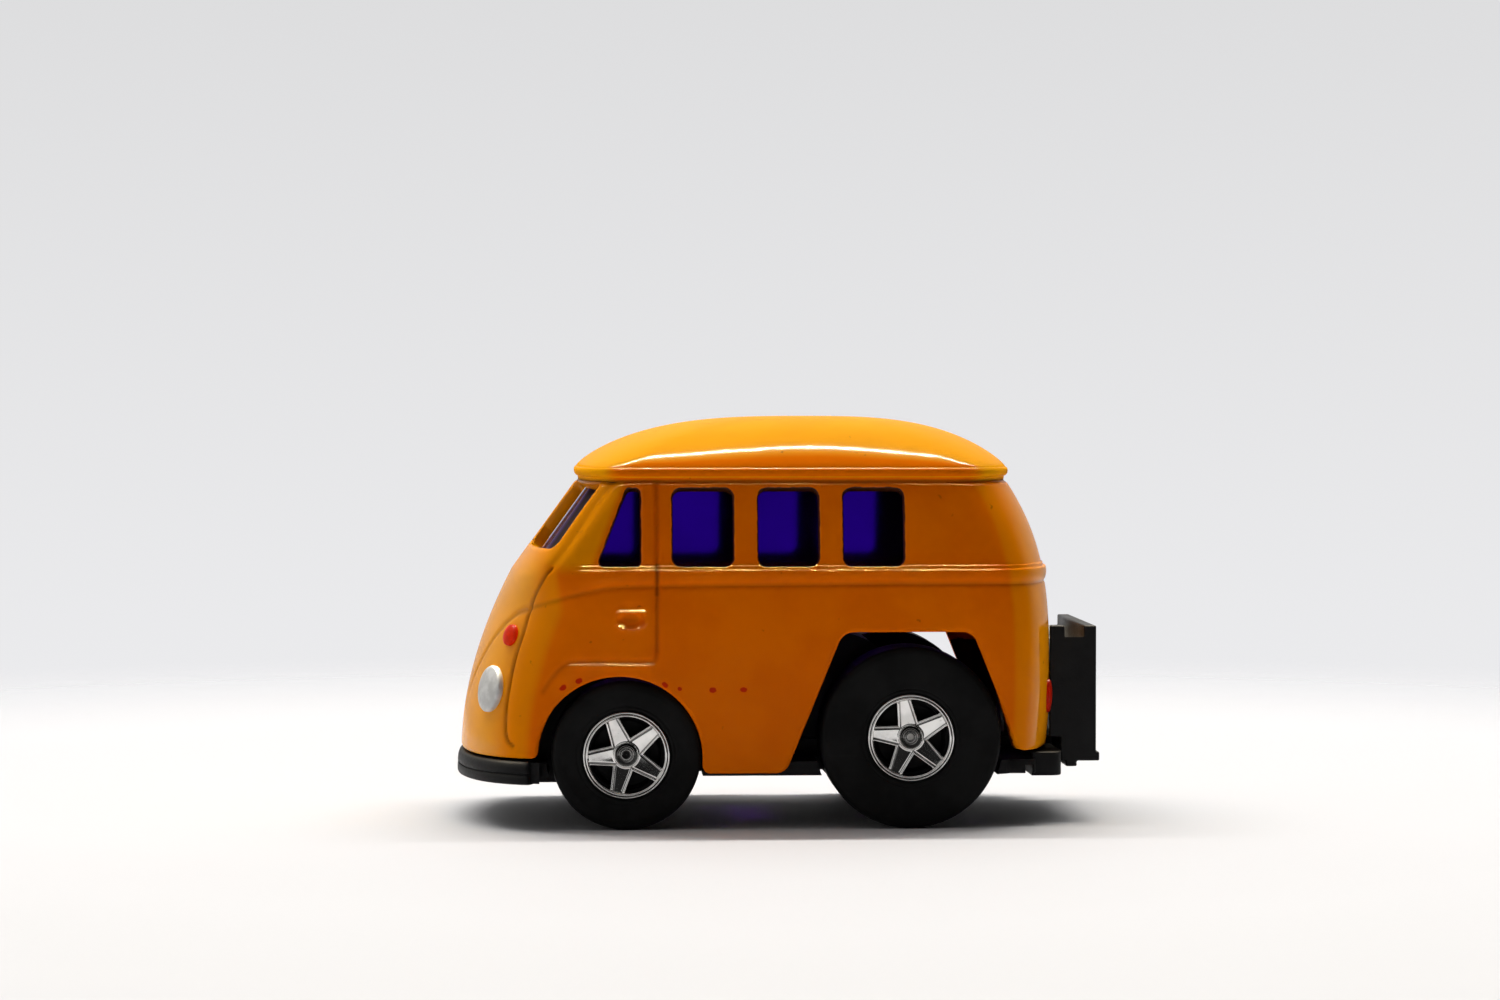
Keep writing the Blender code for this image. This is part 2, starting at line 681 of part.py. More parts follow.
def build_body(material):
    body = add_object("body_shell", body_mesh(), material)
    floor_top = FLOOR_Z + FLOOR_THICKNESS
    tongue_top = floor_top + SEAT_GAP + TONGUE_THICKNESS
    front_foot = floor_top + SEAT_GAP
    rear_foot = tongue_top + SEAT_GAP
    front_height = FRONT_POST_TOP_Z - front_foot
    rear_height = REAR_POST_TOP_Z - rear_foot
    cut(body, underside_mesh(), "underside")
    cut(body, outline_mesh("windows", side_window_outlines(), 2 * CUT, ALONG_Y), "side_windows")
    panes = [pane_outline(SCREEN_SILL_Z, SCREEN_TOP_Z)]
    panes.append([(-y, z) for y, z in panes[0][::-1]])
    cut(body, end_window_mesh(panes, SCREEN_TOP_X + SCREEN_ROUND), "screen")
    back = rounded([(-BACK_WINDOW_HALF, BACK_WINDOW_SILL_Z, SCREEN_CORNER),
                    (BACK_WINDOW_HALF, BACK_WINDOW_SILL_Z, SCREEN_CORNER),
                    (BACK_WINDOW_HALF, BACK_WINDOW_TOP_Z, SCREEN_CORNER),
                    (-BACK_WINDOW_HALF, BACK_WINDOW_TOP_Z, SCREEN_CORNER)])
    cut(body, end_window_mesh([back], tail_x(GUTTER_Z) - TAIL_ROUND / 2), "back_window")
    join(body, cylinder_mesh("post", POST_R, front_height,
                             (FRONT_POST_X, 0, front_foot + front_height / 2), ALONG_Z), "front_post")
    join(body, cylinder_mesh("post", POST_R, rear_height,
                             (REAR_POST_X, 0, rear_foot + rear_height / 2), ALONG_Z), "rear_post")
    web_low = TAIL_BOTTOM_Z + (REAR_POST_TOP_Z - TAIL_BOTTOM_Z) / 3
    web_high = FRONT_POST_TOP_Z - POST_R
    join(body, box_mesh("web", (REAR_POST_X, -POST_WEB / 2, web_low),
                        (tail_x(TAIL_BULGE_Z) - BODY_WALL / 2, POST_WEB / 2, web_high)), "rear_web")
    join(body, box_mesh("web", (nose_x(web_high) + BODY_WALL / 2, -POST_WEB / 2, web_low),
                        (FRONT_POST_X, POST_WEB / 2, web_high)), "front_web")
    notch_half = TONGUE_HALF + SEAT_GAP
    notch_top = tongue_top + SEAT_GAP
    notch = box_mesh("notch", (REAR_POST_X + POST_R, -notch_half, 0), (CUT, notch_half, notch_top))
    cut(body, notch, "tongue_notch")
    for x, foot in ((FRONT_POST_X, front_foot), (REAR_POST_X, rear_foot)):
        top = FLOOR_Z + SCREW_LENGTH + SEAT_GAP
        cut(body, cylinder_mesh("pilot", SCREW_R + RUN_GAP, top - foot + OVERLAP,
                                (x, 0, (top + foot - OVERLAP) / 2), ALONG_Z), "pilot_hole")
    for side in (LEFT, RIGHT):
        join(body, lamp_mesh(side * HEADLAMP_Y, HEADLAMP_Z, -1, HEADLAMP_R, HEADLAMP_R, HEADLAMP_DOME),
             "headlamp")
        join(body, lamp_mesh(side * INDICATOR_Y, INDICATOR_Z, -1, INDICATOR_R, INDICATOR_R, INDICATOR_DOME),
             "indicator")
        join(body, lamp_mesh(side * TAIL_LAMP_Y, TAIL_LAMP_Z, 1, TAIL_LAMP_HALF_WIDTH,
                             TAIL_LAMP_HALF_HEIGHT, TAIL_LAMP_DOME), "tail_lamp")
    smooth(body.data)


def build_windows(material):
    """A clear tray turned over, one wall and a gap inside the body."""
    outer_inset = BODY_WALL + SEAT_GAP
    inner_inset = outer_inset + INSERT_WALL
    low = WINDOW_SILL_Z - INSERT_SKIRT
    outer = [at_height(plan_ring(z, outer_inset), z) for z in spread(low, GUTTER_Z, 4)]
    inner = [at_height(plan_ring(z, inner_inset), z) for z in spread(low, GUTTER_Z - INSERT_WALL, 3)]
    tips = (Vector((CROWN_X, 0, GUTTER_Z - INSERT_WALL)), Vector((CROWN_X, 0, GUTTER_Z)))
    add_object("window_insert", ring_solid("window_insert", inner[::-1] + outer, tips), material)


# Chassis and coin holder

def bumper_outline(plan, way, end_x, proud, depth):
    """A bar round the nose or tail, from one end to the other, and back along its inner side."""
    middle, length, half, square = plan
    edges = []
    for inset in (-proud, depth):
        share = (end_x - middle) * way / (length - inset)
        limit = math.acos(share ** (square / 2))
        arc = plan_arc((middle, length - inset, half - inset, square), way, spread(-limit, limit, RING_SIDE))
        edges.append(arc)
    return edges[0] + edges[1][::-1]


def layer(low_z, height):
    return Matrix.Translation((0, 0, low_z + height / 2))


def build_chassis(material):
    inset = BODY_WALL + SEAT_GAP
    top = FLOOR_Z + FLOOR_THICKNESS
    plate = plan_ring(SILL_Z, inset)
    chassis = add_object("chassis", outline_mesh("chassis", [plate], FLOOR_THICKNESS,
                                                 layer(FLOOR_Z, FLOOR_THICKNESS)), material)
    back = TAIL_X + REAR_BUMPER_PROUD
    front = back - REAR_BUMPER_DEPTH
    shelf_half = HALF_WIDTH - SHELF_INSET
    for side in (LEFT, RIGHT):
        ends = sorted((side * (shelf_half - SHELF_WIDTH), side * shelf_half))
        join(chassis, box_mesh("shelf", (front - SHELF_LENGTH, ends[0], FLOOR_Z),
                               (front + OVERLAP, ends[1], top)), "rear_shelf")
    for axle, radius, width in ((FRONT_AXLE, FRONT_TYRE_R, FRONT_TYRE_WIDTH),
                                (REAR_AXLE, REAR_TYRE_R, REAR_TYRE_WIDTH)):
        inner = WHEEL_FACE_Y - width - WELL_GAP
        for side in (LEFT, RIGHT):
            middle = axle + Vector((0, side * (inner + CUT / 2), 0))
            cut(chassis, cylinder_mesh("well", radius + WELL_GAP, CUT, middle, ALONG_Y, TURN_STEPS), "well")
    nose = bumper_outline(nose_plan(NOSE_BOTTOM_Z), -1, BUMPER_END_X, BUMPER_PROUD, BUMPER_DEPTH)
    join(chassis, outline_mesh("bumper", [nose], BUMPER_HEIGHT, layer(BUMPER_BOTTOM_Z, BUMPER_HEIGHT)),
         "front_bumper")
    tail = rounded([(front, -REAR_BUMPER_HALF, 0), (back, -REAR_BUMPER_HALF, REAR_BUMPER_CORNER),
                    (back, REAR_BUMPER_HALF, REAR_BUMPER_CORNER), (front, REAR_BUMPER_HALF, 0)])
    join(chassis, outline_mesh("bumper", [tail], REAR_BUMPER_HEIGHT,
                               layer(REAR_BUMPER_BOTTOM_Z, REAR_BUMPER_HEIGHT)), "rear_bumper")
    groove_top = FLOOR_Z + REAR_GROOVE_DEPTH
    groove = box_mesh("groove", (front - REAR_GROOVE, -CUT, -CUT), (front, CUT, groove_top))
    cut(chassis, groove, "rear_groove")
    lug_top = FRONT_TYRE_R + AXLE_R + RUN_GAP + AXLE_LUG_ROOF
    for side in (LEFT, RIGHT):
        middle = Vector((FRONT_AXLE_X, side * AXLE_LUG_Y, 0))
        half = Vector((AXLE_LUG_LENGTH / 2, AXLE_LUG_WIDTH / 2, 0))
        join(chassis, box_mesh("lug", middle - half + Vector((0, 0, top - OVERLAP)),
                               middle + half + Vector((0, 0, lug_top))), "axle_lug")
    box_half = WHEEL_FACE_Y - FRONT_TYRE_WIDTH - WELL_GAP - OVERLAP
    low = Vector((FRONT_POST_X + POST_R + SEAT_GAP, -box_half, AXLE_BOX_BOTTOM_Z))
    high = Vector((FRONT_AXLE_X - AXLE_LUG_LENGTH / 2 - AXLE_BOX_GAP, box_half, 2 * FRONT_TYRE_R))
    wall = Vector((AXLE_BOX_WALL,) * 3)
    join(chassis, box_mesh("axle_box", low, high), "axle_box")
    cut(chassis, box_mesh("pocket", low + wall, high - wall + Vector((0, 0, CUT))), "axle_box_pocket")
    cut(chassis, cylinder_mesh("axle_hole", AXLE_R + RUN_GAP, CUT, FRONT_AXLE), "axle_hole")
    belly = wrap(case_circles(SEAT_GAP))
    low_x = min(x for x, z in belly)
    high_x = max(x for x, z in belly)
    half = CASE_HALF + SEAT_GAP
    cut(chassis, box_mesh("motor_hole", (low_x, -half, -CUT), (high_x, half, CUT)), "motor_hole")
    notch_half = TONGUE_HALF + SEAT_GAP
    notch = box_mesh("notch", (front - OVERLAP, -notch_half, top), (CUT, notch_half, CUT))
    cut(chassis, notch, "tongue_notch")
    for x in (FRONT_POST_X, REAR_POST_X):
        cut(chassis, cylinder_mesh("screw_hole", SCREW_R + RUN_GAP, CUT, (x, 0, 0), ALONG_Z), "screw_hole")
        cut(chassis, cylinder_mesh("head_seat", SCREW_HEAD_R + RUN_GAP, 2 * SCREW_HEAD + 2 * SEAT_GAP,
                                   (x, 0, FLOOR_Z - RUN_GAP), ALONG_Z), "head_seat")


def build_holder(material):
    """A block with a tall rear plate, two front claws and a coin-shaped slot between them."""
    front = TAIL_X + REAR_BUMPER_PROUD + BUTT_GAP
    back = front + HOLDER_DEPTH
    slot_back = back - REAR_PLATE
    slot_front = slot_back - COIN_SLOT
    slot_low = HOLDER_TOP_Z - SLOT_END_DEPTH
    coin_z = slot_low + math.sqrt(COIN_R ** 2 - HOLDER_HALF ** 2)
    claw_inner = HOLDER_HALF - CLAW_WIDTH
    holder = add_object("coin_holder", box_mesh("coin_holder", (front, -HOLDER_HALF, HOLDER_BOTTOM_Z),
                                                (back, HOLDER_HALF, HOLDER_TOP_Z)), material)
    for side in (LEFT, RIGHT):
        ends = sorted((side * claw_inner, side * HOLDER_HALF))
        join(holder, box_mesh("claw", (front - CLAW_FORWARD, ends[0], HOLDER_TOP_Z - CLAW_HEIGHT),
                              (front + OVERLAP, ends[1], HOLDER_TOP_Z)), "claw")
    cut(holder, cylinder_mesh("coin", COIN_R, COIN_SLOT, ((slot_front + slot_back) / 2, 0, coin_z), ALONG_X,
                              TURN_STEPS * 2), "coin_slot")
    cut(holder, box_mesh("opening", (-CUT, -claw_inner, coin_z - COIN_R + SEAT_GAP),
                         (slot_front + OVERLAP, claw_inner, CUT)), "front_opening")
    join(holder, box_mesh("lip", (back - OVERLAP, -HOLDER_HALF, HOLDER_BOTTOM_Z),
                          (back + HOLDER_LIP, HOLDER_HALF, HOLDER_BOTTOM_Z + HOLDER_LIP_HEIGHT)), "lip")
    foot = front + HOLDER_FOOT_START
    join(holder, box_mesh("foot", (foot, -HOLDER_HALF, HOLDER_BOTTOM_Z - HOLDER_FOOT_HEIGHT),
                          (foot + HOLDER_FOOT_LENGTH, HOLDER_HALF, HOLDER_BOTTOM_Z + OVERLAP)), "foot")
    low = FLOOR_Z + FLOOR_THICKNESS + SEAT_GAP
    reach = REAR_POST_X - POST_R
    join(holder, box_mesh("tongue", (reach, -TONGUE_HALF, low),
                          (front + OVERLAP, TONGUE_HALF, low + TONGUE_THICKNESS)), "tongue")
    screw_hole = cylinder_mesh("screw_hole", SCREW_R + RUN_GAP, CUT, (REAR_POST_X, 0, 0), ALONG_Z)
    cut(holder, screw_hole, "screw_hole")


def build_screws(material):
    for name, x in (("chassis_screw_front", FRONT_POST_X), ("chassis_screw_rear", REAR_POST_X)):
        head = add_object(name, cylinder_mesh(name, SCREW_HEAD_R, SCREW_HEAD,
                                              (x, 0, FLOOR_Z + SCREW_HEAD / 2 - RUN_GAP), ALONG_Z), material)
        length = SCREW_LENGTH - SCREW_HEAD / 2
        join(head, cylinder_mesh("shank", SCREW_R, length,
                                 (x, 0, FLOOR_Z + SCREW_HEAD / 2 + length / 2), ALONG_Z), "shank")
        slot = SCREW_HEAD_R / 4
        for turn in (ALONG_X, ALONG_Y):
            bar = cylinder_mesh("drive", slot, SCREW_HEAD_R * 1.2, (x, 0, FLOOR_Z - RUN_GAP), turn, 4)
            cut(head, bar, "drive")


# Wheels and axles

def tyre_profile(radius, width):
    """Bore, side wall, rounded shoulder and flat tread, from the outer face inwards."""
    bore = CORE_R + TYRE_GAP
    shoulder = min(TYRE_SHOULDER, width / 3)
    outer = [(radius - shoulder + shoulder * math.sin(a), -shoulder + shoulder * math.cos(a))
             for a in spread(0, math.pi / 2, 3)]
    inner = [(r, -width - h) for r, h in reversed(outer)]
    return [(bore, 0)] + outer + inner + [(bore, -width)]


def core_profile(width):
    """A dished disc inside the tyre, with a bore for the axle."""
    bore = AXLE_R + RUN_GAP
    face = -CORE_SETBACK
    return [(bore, face - CORE_DISH), (CORE_DISH_R, face - CORE_DISH), (CORE_DISH_R, face), (CORE_R, face),
            (CORE_R, -width + CORE_BACKSET), (bore, -width + CORE_BACKSET)]


def trim_outlines(turn):
    """Rim ring, spokes and hub as one outline per opening between spokes, round a hub hole."""
    rim = TRIM_R - TRIM_RING
    openings = []
    for i in range(SPOKES):
        here = turn + 2 * math.pi * i / SPOKES
        after = here + 2 * math.pi / SPOKES
        outer_half = math.asin(SPOKE_OUTER_WIDTH / 2 / rim)
        inner_half = math.asin(SPOKE_INNER_WIDTH / 2 / TRIM_HUB_R)
        arc = [(rim * math.cos(a), rim * math.sin(a))
               for a in spread(here + outer_half, after - outer_half, 6)]
        hub = [(TRIM_HUB_R * math.cos(a), TRIM_HUB_R * math.sin(a))
               for a in spread(after - inner_half, here + inner_half, 1)]
        openings.append(arc + hub)
    return [circle(0, 0, TRIM_R, TURN_STEPS)] + openings + [circle(0, 0, TRIM_HOLE_R)]


def build_wheels(joint, end, radius, width, turn, looks):
    """A tyre, a core and a plated trim at each end of an axle."""
    rubber, plastic, bright = looks
    for side, side_name in ((LEFT, "left"), (RIGHT, "right")):
        name = end + "_" + side_name
        face = Vector((0, side * WHEEL_FACE_Y, 0))
        turned_object("tyre_" + name, tyre_profile(radius, width), rubber, joint, face, side)
        turned_object("wheel_core_" + name, core_profile(width), plastic, joint, face, side, TURN_STEPS // 2)
        depth = CORE_SETBACK - BUTT_GAP - TRIM_THICKNESS / 2
        place = Matrix.Translation(face - Vector((0, side * depth, 0)))
        trim = outline_mesh("wheel_trim_" + name, trim_outlines(turn), TRIM_THICKNESS, place @ ALONG_Y)
        add_object("wheel_trim_" + name, trim, bright, joint)


def build_axle(name, joint, material):
    length = 2 * (WHEEL_FACE_Y - CORE_SETBACK)
    axle = add_object(name, cylinder_mesh(name, AXLE_R, length, (0, 0, 0)), material, joint)
    smooth(axle.data)


# Spring motor

def centre_distance(teeth, other):
    return MODULE * (teeth + other) / 2


def idler_place():
    reach = centre_distance(PINION_TEETH, IDLER_TEETH)
    return REAR_AXLE + reach * Vector((math.cos(IDLER_RISE), 0, math.sin(IDLER_RISE)))


def barrel_place():
    reach = centre_distance(IDLER_PINION_TEETH, BARREL_TEETH)
    return idler_place() + reach * Vector((math.cos(BARREL_RISE), 0, math.sin(BARREL_RISE)))


def tip_radius(teeth):
    return MODULE * (teeth / 2 + ADDENDUM)


def case_circles(grow):
    """Circles that clear the gears; grow adds the case wall and any gap round it."""
    reach = TOOTH_GAP + CASE_WALL + grow
    barrel_r = max(tip_radius(BARREL_TEETH), BARREL_DRUM_R)
    return [(place.x, place.z, radius + reach) for place, radius in
            ((REAR_AXLE, tip_radius(PINION_TEETH)), (idler_place(), tip_radius(IDLER_TEETH)),
             (barrel_place(), barrel_r))]


def build_motor_case(material):
    """Two cups that meet at the middle, each with holes for the axle, the pin and the arbor."""
    holes = [(REAR_AXLE, AXLE_R), (idler_place(), PIN_R), (barrel_place(), PIN_R)]
    lug_low = FLOOR_Z + FLOOR_THICKNESS + SEAT_GAP
    lug_middle = (idler_place().x + barrel_place().x) / 2
    for side, name in ((LEFT, "motor_case_left"), (RIGHT, "motor_case_right")):
        depth = CASE_HALF - BUTT_GAP / 2
        middle = Matrix.Translation((0, side * (CASE_HALF + BUTT_GAP / 2) / 2, 0))
        shell = outline_mesh(name, [wrap(case_circles(0))], depth, middle @ ALONG_Y)
        case = add_object(name, shell, material)
        inside = Matrix.Translation((0, -side * CASE_WALL, 0)) @ middle @ ALONG_Y
        cut(case, outline_mesh("pocket", [wrap(case_circles(-CASE_WALL))], depth, inside), "pocket")
        for place, radius in holes:
            cut(case, cylinder_mesh("hole", radius + RUN_GAP, CUT, place), "hole")
        ends = sorted((side * (CASE_HALF - OVERLAP), side * (CASE_HALF + CASE_LUG_WIDTH)))
        join(case, box_mesh("lug", (lug_middle - CASE_LUG_LENGTH / 2, ends[0], lug_low),
                            (lug_middle + CASE_LUG_LENGTH / 2, ends[1], lug_low + CASE_LUG_HEIGHT)), "lug")


def gear_mesh(name, teeth, turn, width, y, bore):
    layer_y = Matrix.Translation((0, y, 0))
    return outline_mesh(name, [gear_outline(teeth, turn), circle(0, 0, bore)], width, layer_y @ ALONG_Y)


def build_gears(joints, plastic, steel):
    """The axle pinion drives the idler's large gear, and its small one drives the barrel's gear."""
    pinion_turn = IDLER_RISE
    idler_turn = IDLER_RISE + math.pi + math.pi / IDLER_TEETH
    small_turn = BARREL_RISE
    barrel_turn = BARREL_RISE + math.pi + math.pi / BARREL_TEETH
    bore = PIN_R + RUN_GAP
    pinion = gear_mesh("axle_pinion", PINION_TEETH, pinion_turn, PINION_WIDTH, GEAR_PLANE_Y, AXLE_R + RUN_GAP)
    add_object("axle_pinion", pinion, plastic, joints["rear"])
    large = gear_mesh("idler_gear", IDLER_TEETH, idler_turn, GEAR_WIDTH, GEAR_PLANE_Y, bore)
    idler = add_object("idler_gear", large, plastic, joints["idler"])
    low = SPRING_PLANE_Y - GEAR_WIDTH / 2 + BUTT_GAP
    high = GEAR_PLANE_Y - GEAR_WIDTH / 2 + OVERLAP
    small = gear_mesh("small_gear", IDLER_PINION_TEETH, small_turn, high - low, (low + high) / 2, bore)
    join(idler, small, "small_gear")
    wheel = gear_mesh("spring_barrel", BARREL_TEETH, barrel_turn, GEAR_WIDTH, SPRING_PLANE_Y, bore)
    barrel = add_object("spring_barrel", wheel, plastic, joints["barrel"])
    drum_high = SPRING_PLANE_Y - GEAR_WIDTH / 2 + OVERLAP
    drum_low = SPRING_PLANE_Y - GEAR_WIDTH / 2 - BARREL_DEPTH
    walls = [circle(0, 0, BARREL_DRUM_R, TURN_STEPS), circle(0, 0, BARREL_DRUM_R - BARREL_WALL, TURN_STEPS)]
    drum_place = Matrix.Translation((0, (drum_low + drum_high) / 2, 0)) @ ALONG_Y
    join(barrel, outline_mesh("drum", walls, drum_high - drum_low, drum_place), "drum")
    spring_place = Matrix.Translation((0, (drum_low + drum_high - OVERLAP) / 2, 0)) @ ALONG_Y
    spring = outline_mesh("mainspring", [spring_outline()], BARREL_DEPTH - 2 * BUTT_GAP, spring_place)
    add_object("mainspring", spring, steel, joints["barrel"])


def spring_outline():
    """A flat spiral strip: out along one side of a spiral and back along the other."""
    outer_r = BARREL_DRUM_R - BARREL_WALL - BUTT_GAP - SPRING_STRIP
    steps = int(20 * SPRING_TURNS)
    near = []
    far = []
    for i in range(steps + 1):
        angle = 2 * math.pi * SPRING_TURNS * i / steps
        radius = SPRING_INNER_R + (outer_r - SPRING_INNER_R) * i / steps
        near.append((radius * math.cos(angle), radius * math.sin(angle)))
        far.append(((radius + SPRING_STRIP) * math.cos(angle), (radius + SPRING_STRIP) * math.sin(angle)))
    return near + far[::-1]


def build_pins(steel):
    length = 2 * CASE_HALF
    for name, place in (("idler_pin", idler_place()), ("spring_arbor", barrel_place())):
        pin = add_object(name, cylinder_mesh(name, PIN_R, length, place), steel)
        smooth(pin.data)


def build():
    paint = make_material("orange_paint", (0.80, 0.24, 0.010), 0.28)
    tint = make_material("tinted_clear", (0.05, 0.01, 0.40), 0.08, alpha=0.5)
    black = make_material("black_plastic", (0.012, 0.012, 0.013), 0.42)
    rubber = make_material("tyre_rubber", (0.014, 0.014, 0.014), 0.62)
    bright = make_material("bright_plating", (0.80, 0.80, 0.79), 0.10, metallic=1.0)
    steel = make_material("steel", (0.55, 0.55, 0.56), 0.30, metallic=1.0)
    case = make_material("case_plastic", (0.10, 0.10, 0.11), 0.45)
    nylon = make_material("gear_nylon", (0.75, 0.74, 0.70), 0.40)
    joints = {"front": add_joint("front_axle_joint", FRONT_AXLE),
              "rear": add_joint("rear_axle_joint", REAR_AXLE),
              "idler": add_joint("idler_joint", idler_place()),
              "barrel": add_joint("barrel_joint", barrel_place())}
    build_body(paint)
    build_windows(tint)
    build_chassis(black)
    build_holder(black)
    build_screws(steel)
    looks = (rubber, black, bright)
    build_wheels(joints["front"], "front", FRONT_TYRE_R, FRONT_TYRE_WIDTH, FRONT_SPOKE_TURN, looks)
    build_wheels(joints["rear"], "rear", REAR_TYRE_R, REAR_TYRE_WIDTH, REAR_SPOKE_TURN, looks)
    build_axle("front_axle", joints["front"], steel)
    build_axle("rear_axle", joints["rear"], steel)
    build_motor_case(case)
    build_gears(joints, nylon, steel)
    build_pins(steel)
    bpy.context.view_layer.update()


clear_scene()
PARTS = new_collection("toy_van")
CUTTERS = new_collection("cutters")
build()
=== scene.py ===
"""Pull-back toy van: painted shell, tinted windows, wheels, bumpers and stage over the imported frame.

Shapes are worked out in millimetres on whole numpy arrays and stored in metres. Nose towards -X, left
side -Y, +Z up, ground at zero.
"""
import json
import math

import bmesh
import bpy
import numpy as np
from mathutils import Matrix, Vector


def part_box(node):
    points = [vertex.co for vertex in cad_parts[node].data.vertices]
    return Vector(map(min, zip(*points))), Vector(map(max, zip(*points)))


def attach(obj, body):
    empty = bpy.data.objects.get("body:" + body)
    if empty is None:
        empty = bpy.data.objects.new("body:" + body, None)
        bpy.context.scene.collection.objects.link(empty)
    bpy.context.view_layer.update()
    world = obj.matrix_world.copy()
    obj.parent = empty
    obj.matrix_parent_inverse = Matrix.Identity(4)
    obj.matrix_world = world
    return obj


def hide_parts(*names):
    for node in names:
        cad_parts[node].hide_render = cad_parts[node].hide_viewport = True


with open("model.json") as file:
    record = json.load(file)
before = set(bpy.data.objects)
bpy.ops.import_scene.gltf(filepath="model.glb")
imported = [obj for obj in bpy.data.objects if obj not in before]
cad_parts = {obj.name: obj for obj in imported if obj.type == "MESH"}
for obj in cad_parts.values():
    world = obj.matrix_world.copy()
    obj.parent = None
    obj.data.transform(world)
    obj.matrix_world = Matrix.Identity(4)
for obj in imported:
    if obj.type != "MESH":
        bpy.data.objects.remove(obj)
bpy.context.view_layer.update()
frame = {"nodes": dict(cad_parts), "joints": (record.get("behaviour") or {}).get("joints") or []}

bl_info = {
    "name": "Toy van surfaces",
    "version": (1, 0, 0),
    "blender": (4, 5, 0),
    "location": "View3D > Sidebar > Toy Van",
    "description": "Builds the visible surfaces of a pull-back toy van over its frame",
    "category": "Object",
}

MM = 0.001
LEFT = -1
RIGHT = 1
SIDES = ((LEFT, "left"), (RIGHT, "right"))


def joint_place(name):
    """Where a joint turns, in millimetres."""
    for joint in frame["joints"]:
        if joint["name"] == name:
            return np.array(joint["pos_m"]) / MM
    raise RuntimeError("no joint named " + name)


def tyre_radius(node):
    """Half of a tyre's height, in metres."""
    low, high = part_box(node)
    return (high.z - low.z) / 2


def paint(red, green, blue):
    """A colour as read from a screen, 0 to 255, made linear."""
    share = np.array((red, green, blue)) / 255
    flat = np.where(share <= 0.04045, share / 12.92, ((share + 0.055) / 1.055) ** 2.4)
    return tuple(float(v) for v in flat)


def shade(tint, share, more=0.0):
    """A tint made darker or lighter: each number times a share, and a little more."""
    return tuple(min(1.0, v * share + more) for v in tint)


def length(name, description, default):
    """A size on the panel, in metres."""
    return bpy.props.FloatProperty(name=name, description=description, default=default, unit="LENGTH",
                                   precision=5)


def colour(name, description, default):
    """A colour on the panel."""
    return bpy.props.FloatVectorProperty(name=name, description=description, default=default,
                                         subtype="COLOR", min=0, max=1)


class VanSizes(bpy.types.PropertyGroup):
    """Sizes of the shell and wheels."""
    half_width: length("Half width", "Half of the body's width at the belt", 0.0126)
    wall: length("Wall", "Thickness of the cast body wall", 0.0009)
    edge_round: length("Edge round", "Rounding of the paint at the openings", 0.00018)
    seam_depth: length("Seam depth", "Depth of the door seams", 0.00013)
    seam_width: length("Seam width", "Half width of the door seams", 0.00013)
    belt_proud: length("Belt proud", "How far the belt stands out", 0.00027)
    roof_z: length("Roof height", "Height of the roof's crown", 0.02925)
    gutter_z: length("Gutter height", "Lower edge of the roof's lip", 0.0247)
    headlamp_radius: length("Headlamp radius", "Radius of a headlamp", 0.00167)
    indicator_radius: length("Indicator radius", "Radius of a front indicator", 0.00078)
    front_radius: length("Front tyre radius", "Radius of a front tyre", tyre_radius("tyre_front_left"))
    rear_radius: length("Rear tyre radius", "Radius of a rear tyre", tyre_radius("tyre_rear_left"))
    trim_radius: length("Trim radius", "Outer radius of a wheel trim", 0.00308)


class VanColours(bpy.types.PropertyGroup):
    """Colours of the paint, plastic and plating."""
    body: colour("Body", "Body paint", paint(238, 113, 0))
    body_deep: colour("Body deep", "Body paint where it is thicker", paint(232, 106, 0))
    # Painted light: a paler tint for the nose, tail and raked pillar, standing in for light falling there
    turned: colour("Body ends", "Body paint at the nose and tail, which is thinner", paint(244, 159, 3))
    # Painted light: the roof's paler tint stands in for light falling on its top
    roof: colour("Roof", "Roof paint, a little faded by light", paint(248, 163, 6))
    # Dirt in the seams; the same colour is painted shade under the roof's lip and in the handle's cup
    seam: colour("Seam", "Dirt in the seams", paint(96, 46, 4))
    # Dark colour at the side windows' outlines and on the openings' walls; low on the inner skin it is
    # painted shade
    rim: colour("Opening edge", "Thin dark paint at the window edges", paint(58, 26, 6))
    tint: colour("Window tint", "Tinted clear plastic", (0.147, 0.0162, 0.544))
    lamp: colour("Headlamp", "Silver lamp paint", paint(216, 216, 214))
    indicator: colour("Indicator", "Front indicator paint", paint(246, 48, 2))
    tail: colour("Tail lamp", "Tail lamp paint", paint(200, 30, 8))
    black: colour("Black plastic", "Chassis, bumpers and coin holder", paint(15, 15, 16))
    rubber: colour("Rubber", "Tyres", paint(14, 14, 14))
    plating: colour("Plating", "Bright plated trims", paint(232, 231, 228))
    steel: colour("Steel", "Axles and screws", paint(170, 168, 164))
    floor: colour("Floor", "Studio floor", paint(209, 208, 209))


# Mesh helpers

def smoothstep(t):
    """0 below 0, 1 above 1, and 3t2 - 2t3 between."""
    t = np.clip(t, 0, 1)
    return t * t * (3 - 2 * t)


def bell(distance, width):
    """1 at no distance, falling off both ways as exp of minus the square of distance over width."""
    return np.exp(-(distance / width) ** 2)


def bead(distance, half):
    """A half-round bead: the square root of 1 less the square of distance over its half width."""
    return np.sqrt(np.maximum(1 - (distance / half) ** 2, 0))


def edge_drop(field, radius):
    """How far a quarter-round edge has fallen at a distance inside the line that it is cut on."""
    near = np.clip(radius - field, 0, radius)
    return radius - np.sqrt(np.maximum(radius ** 2 - near ** 2, 0))


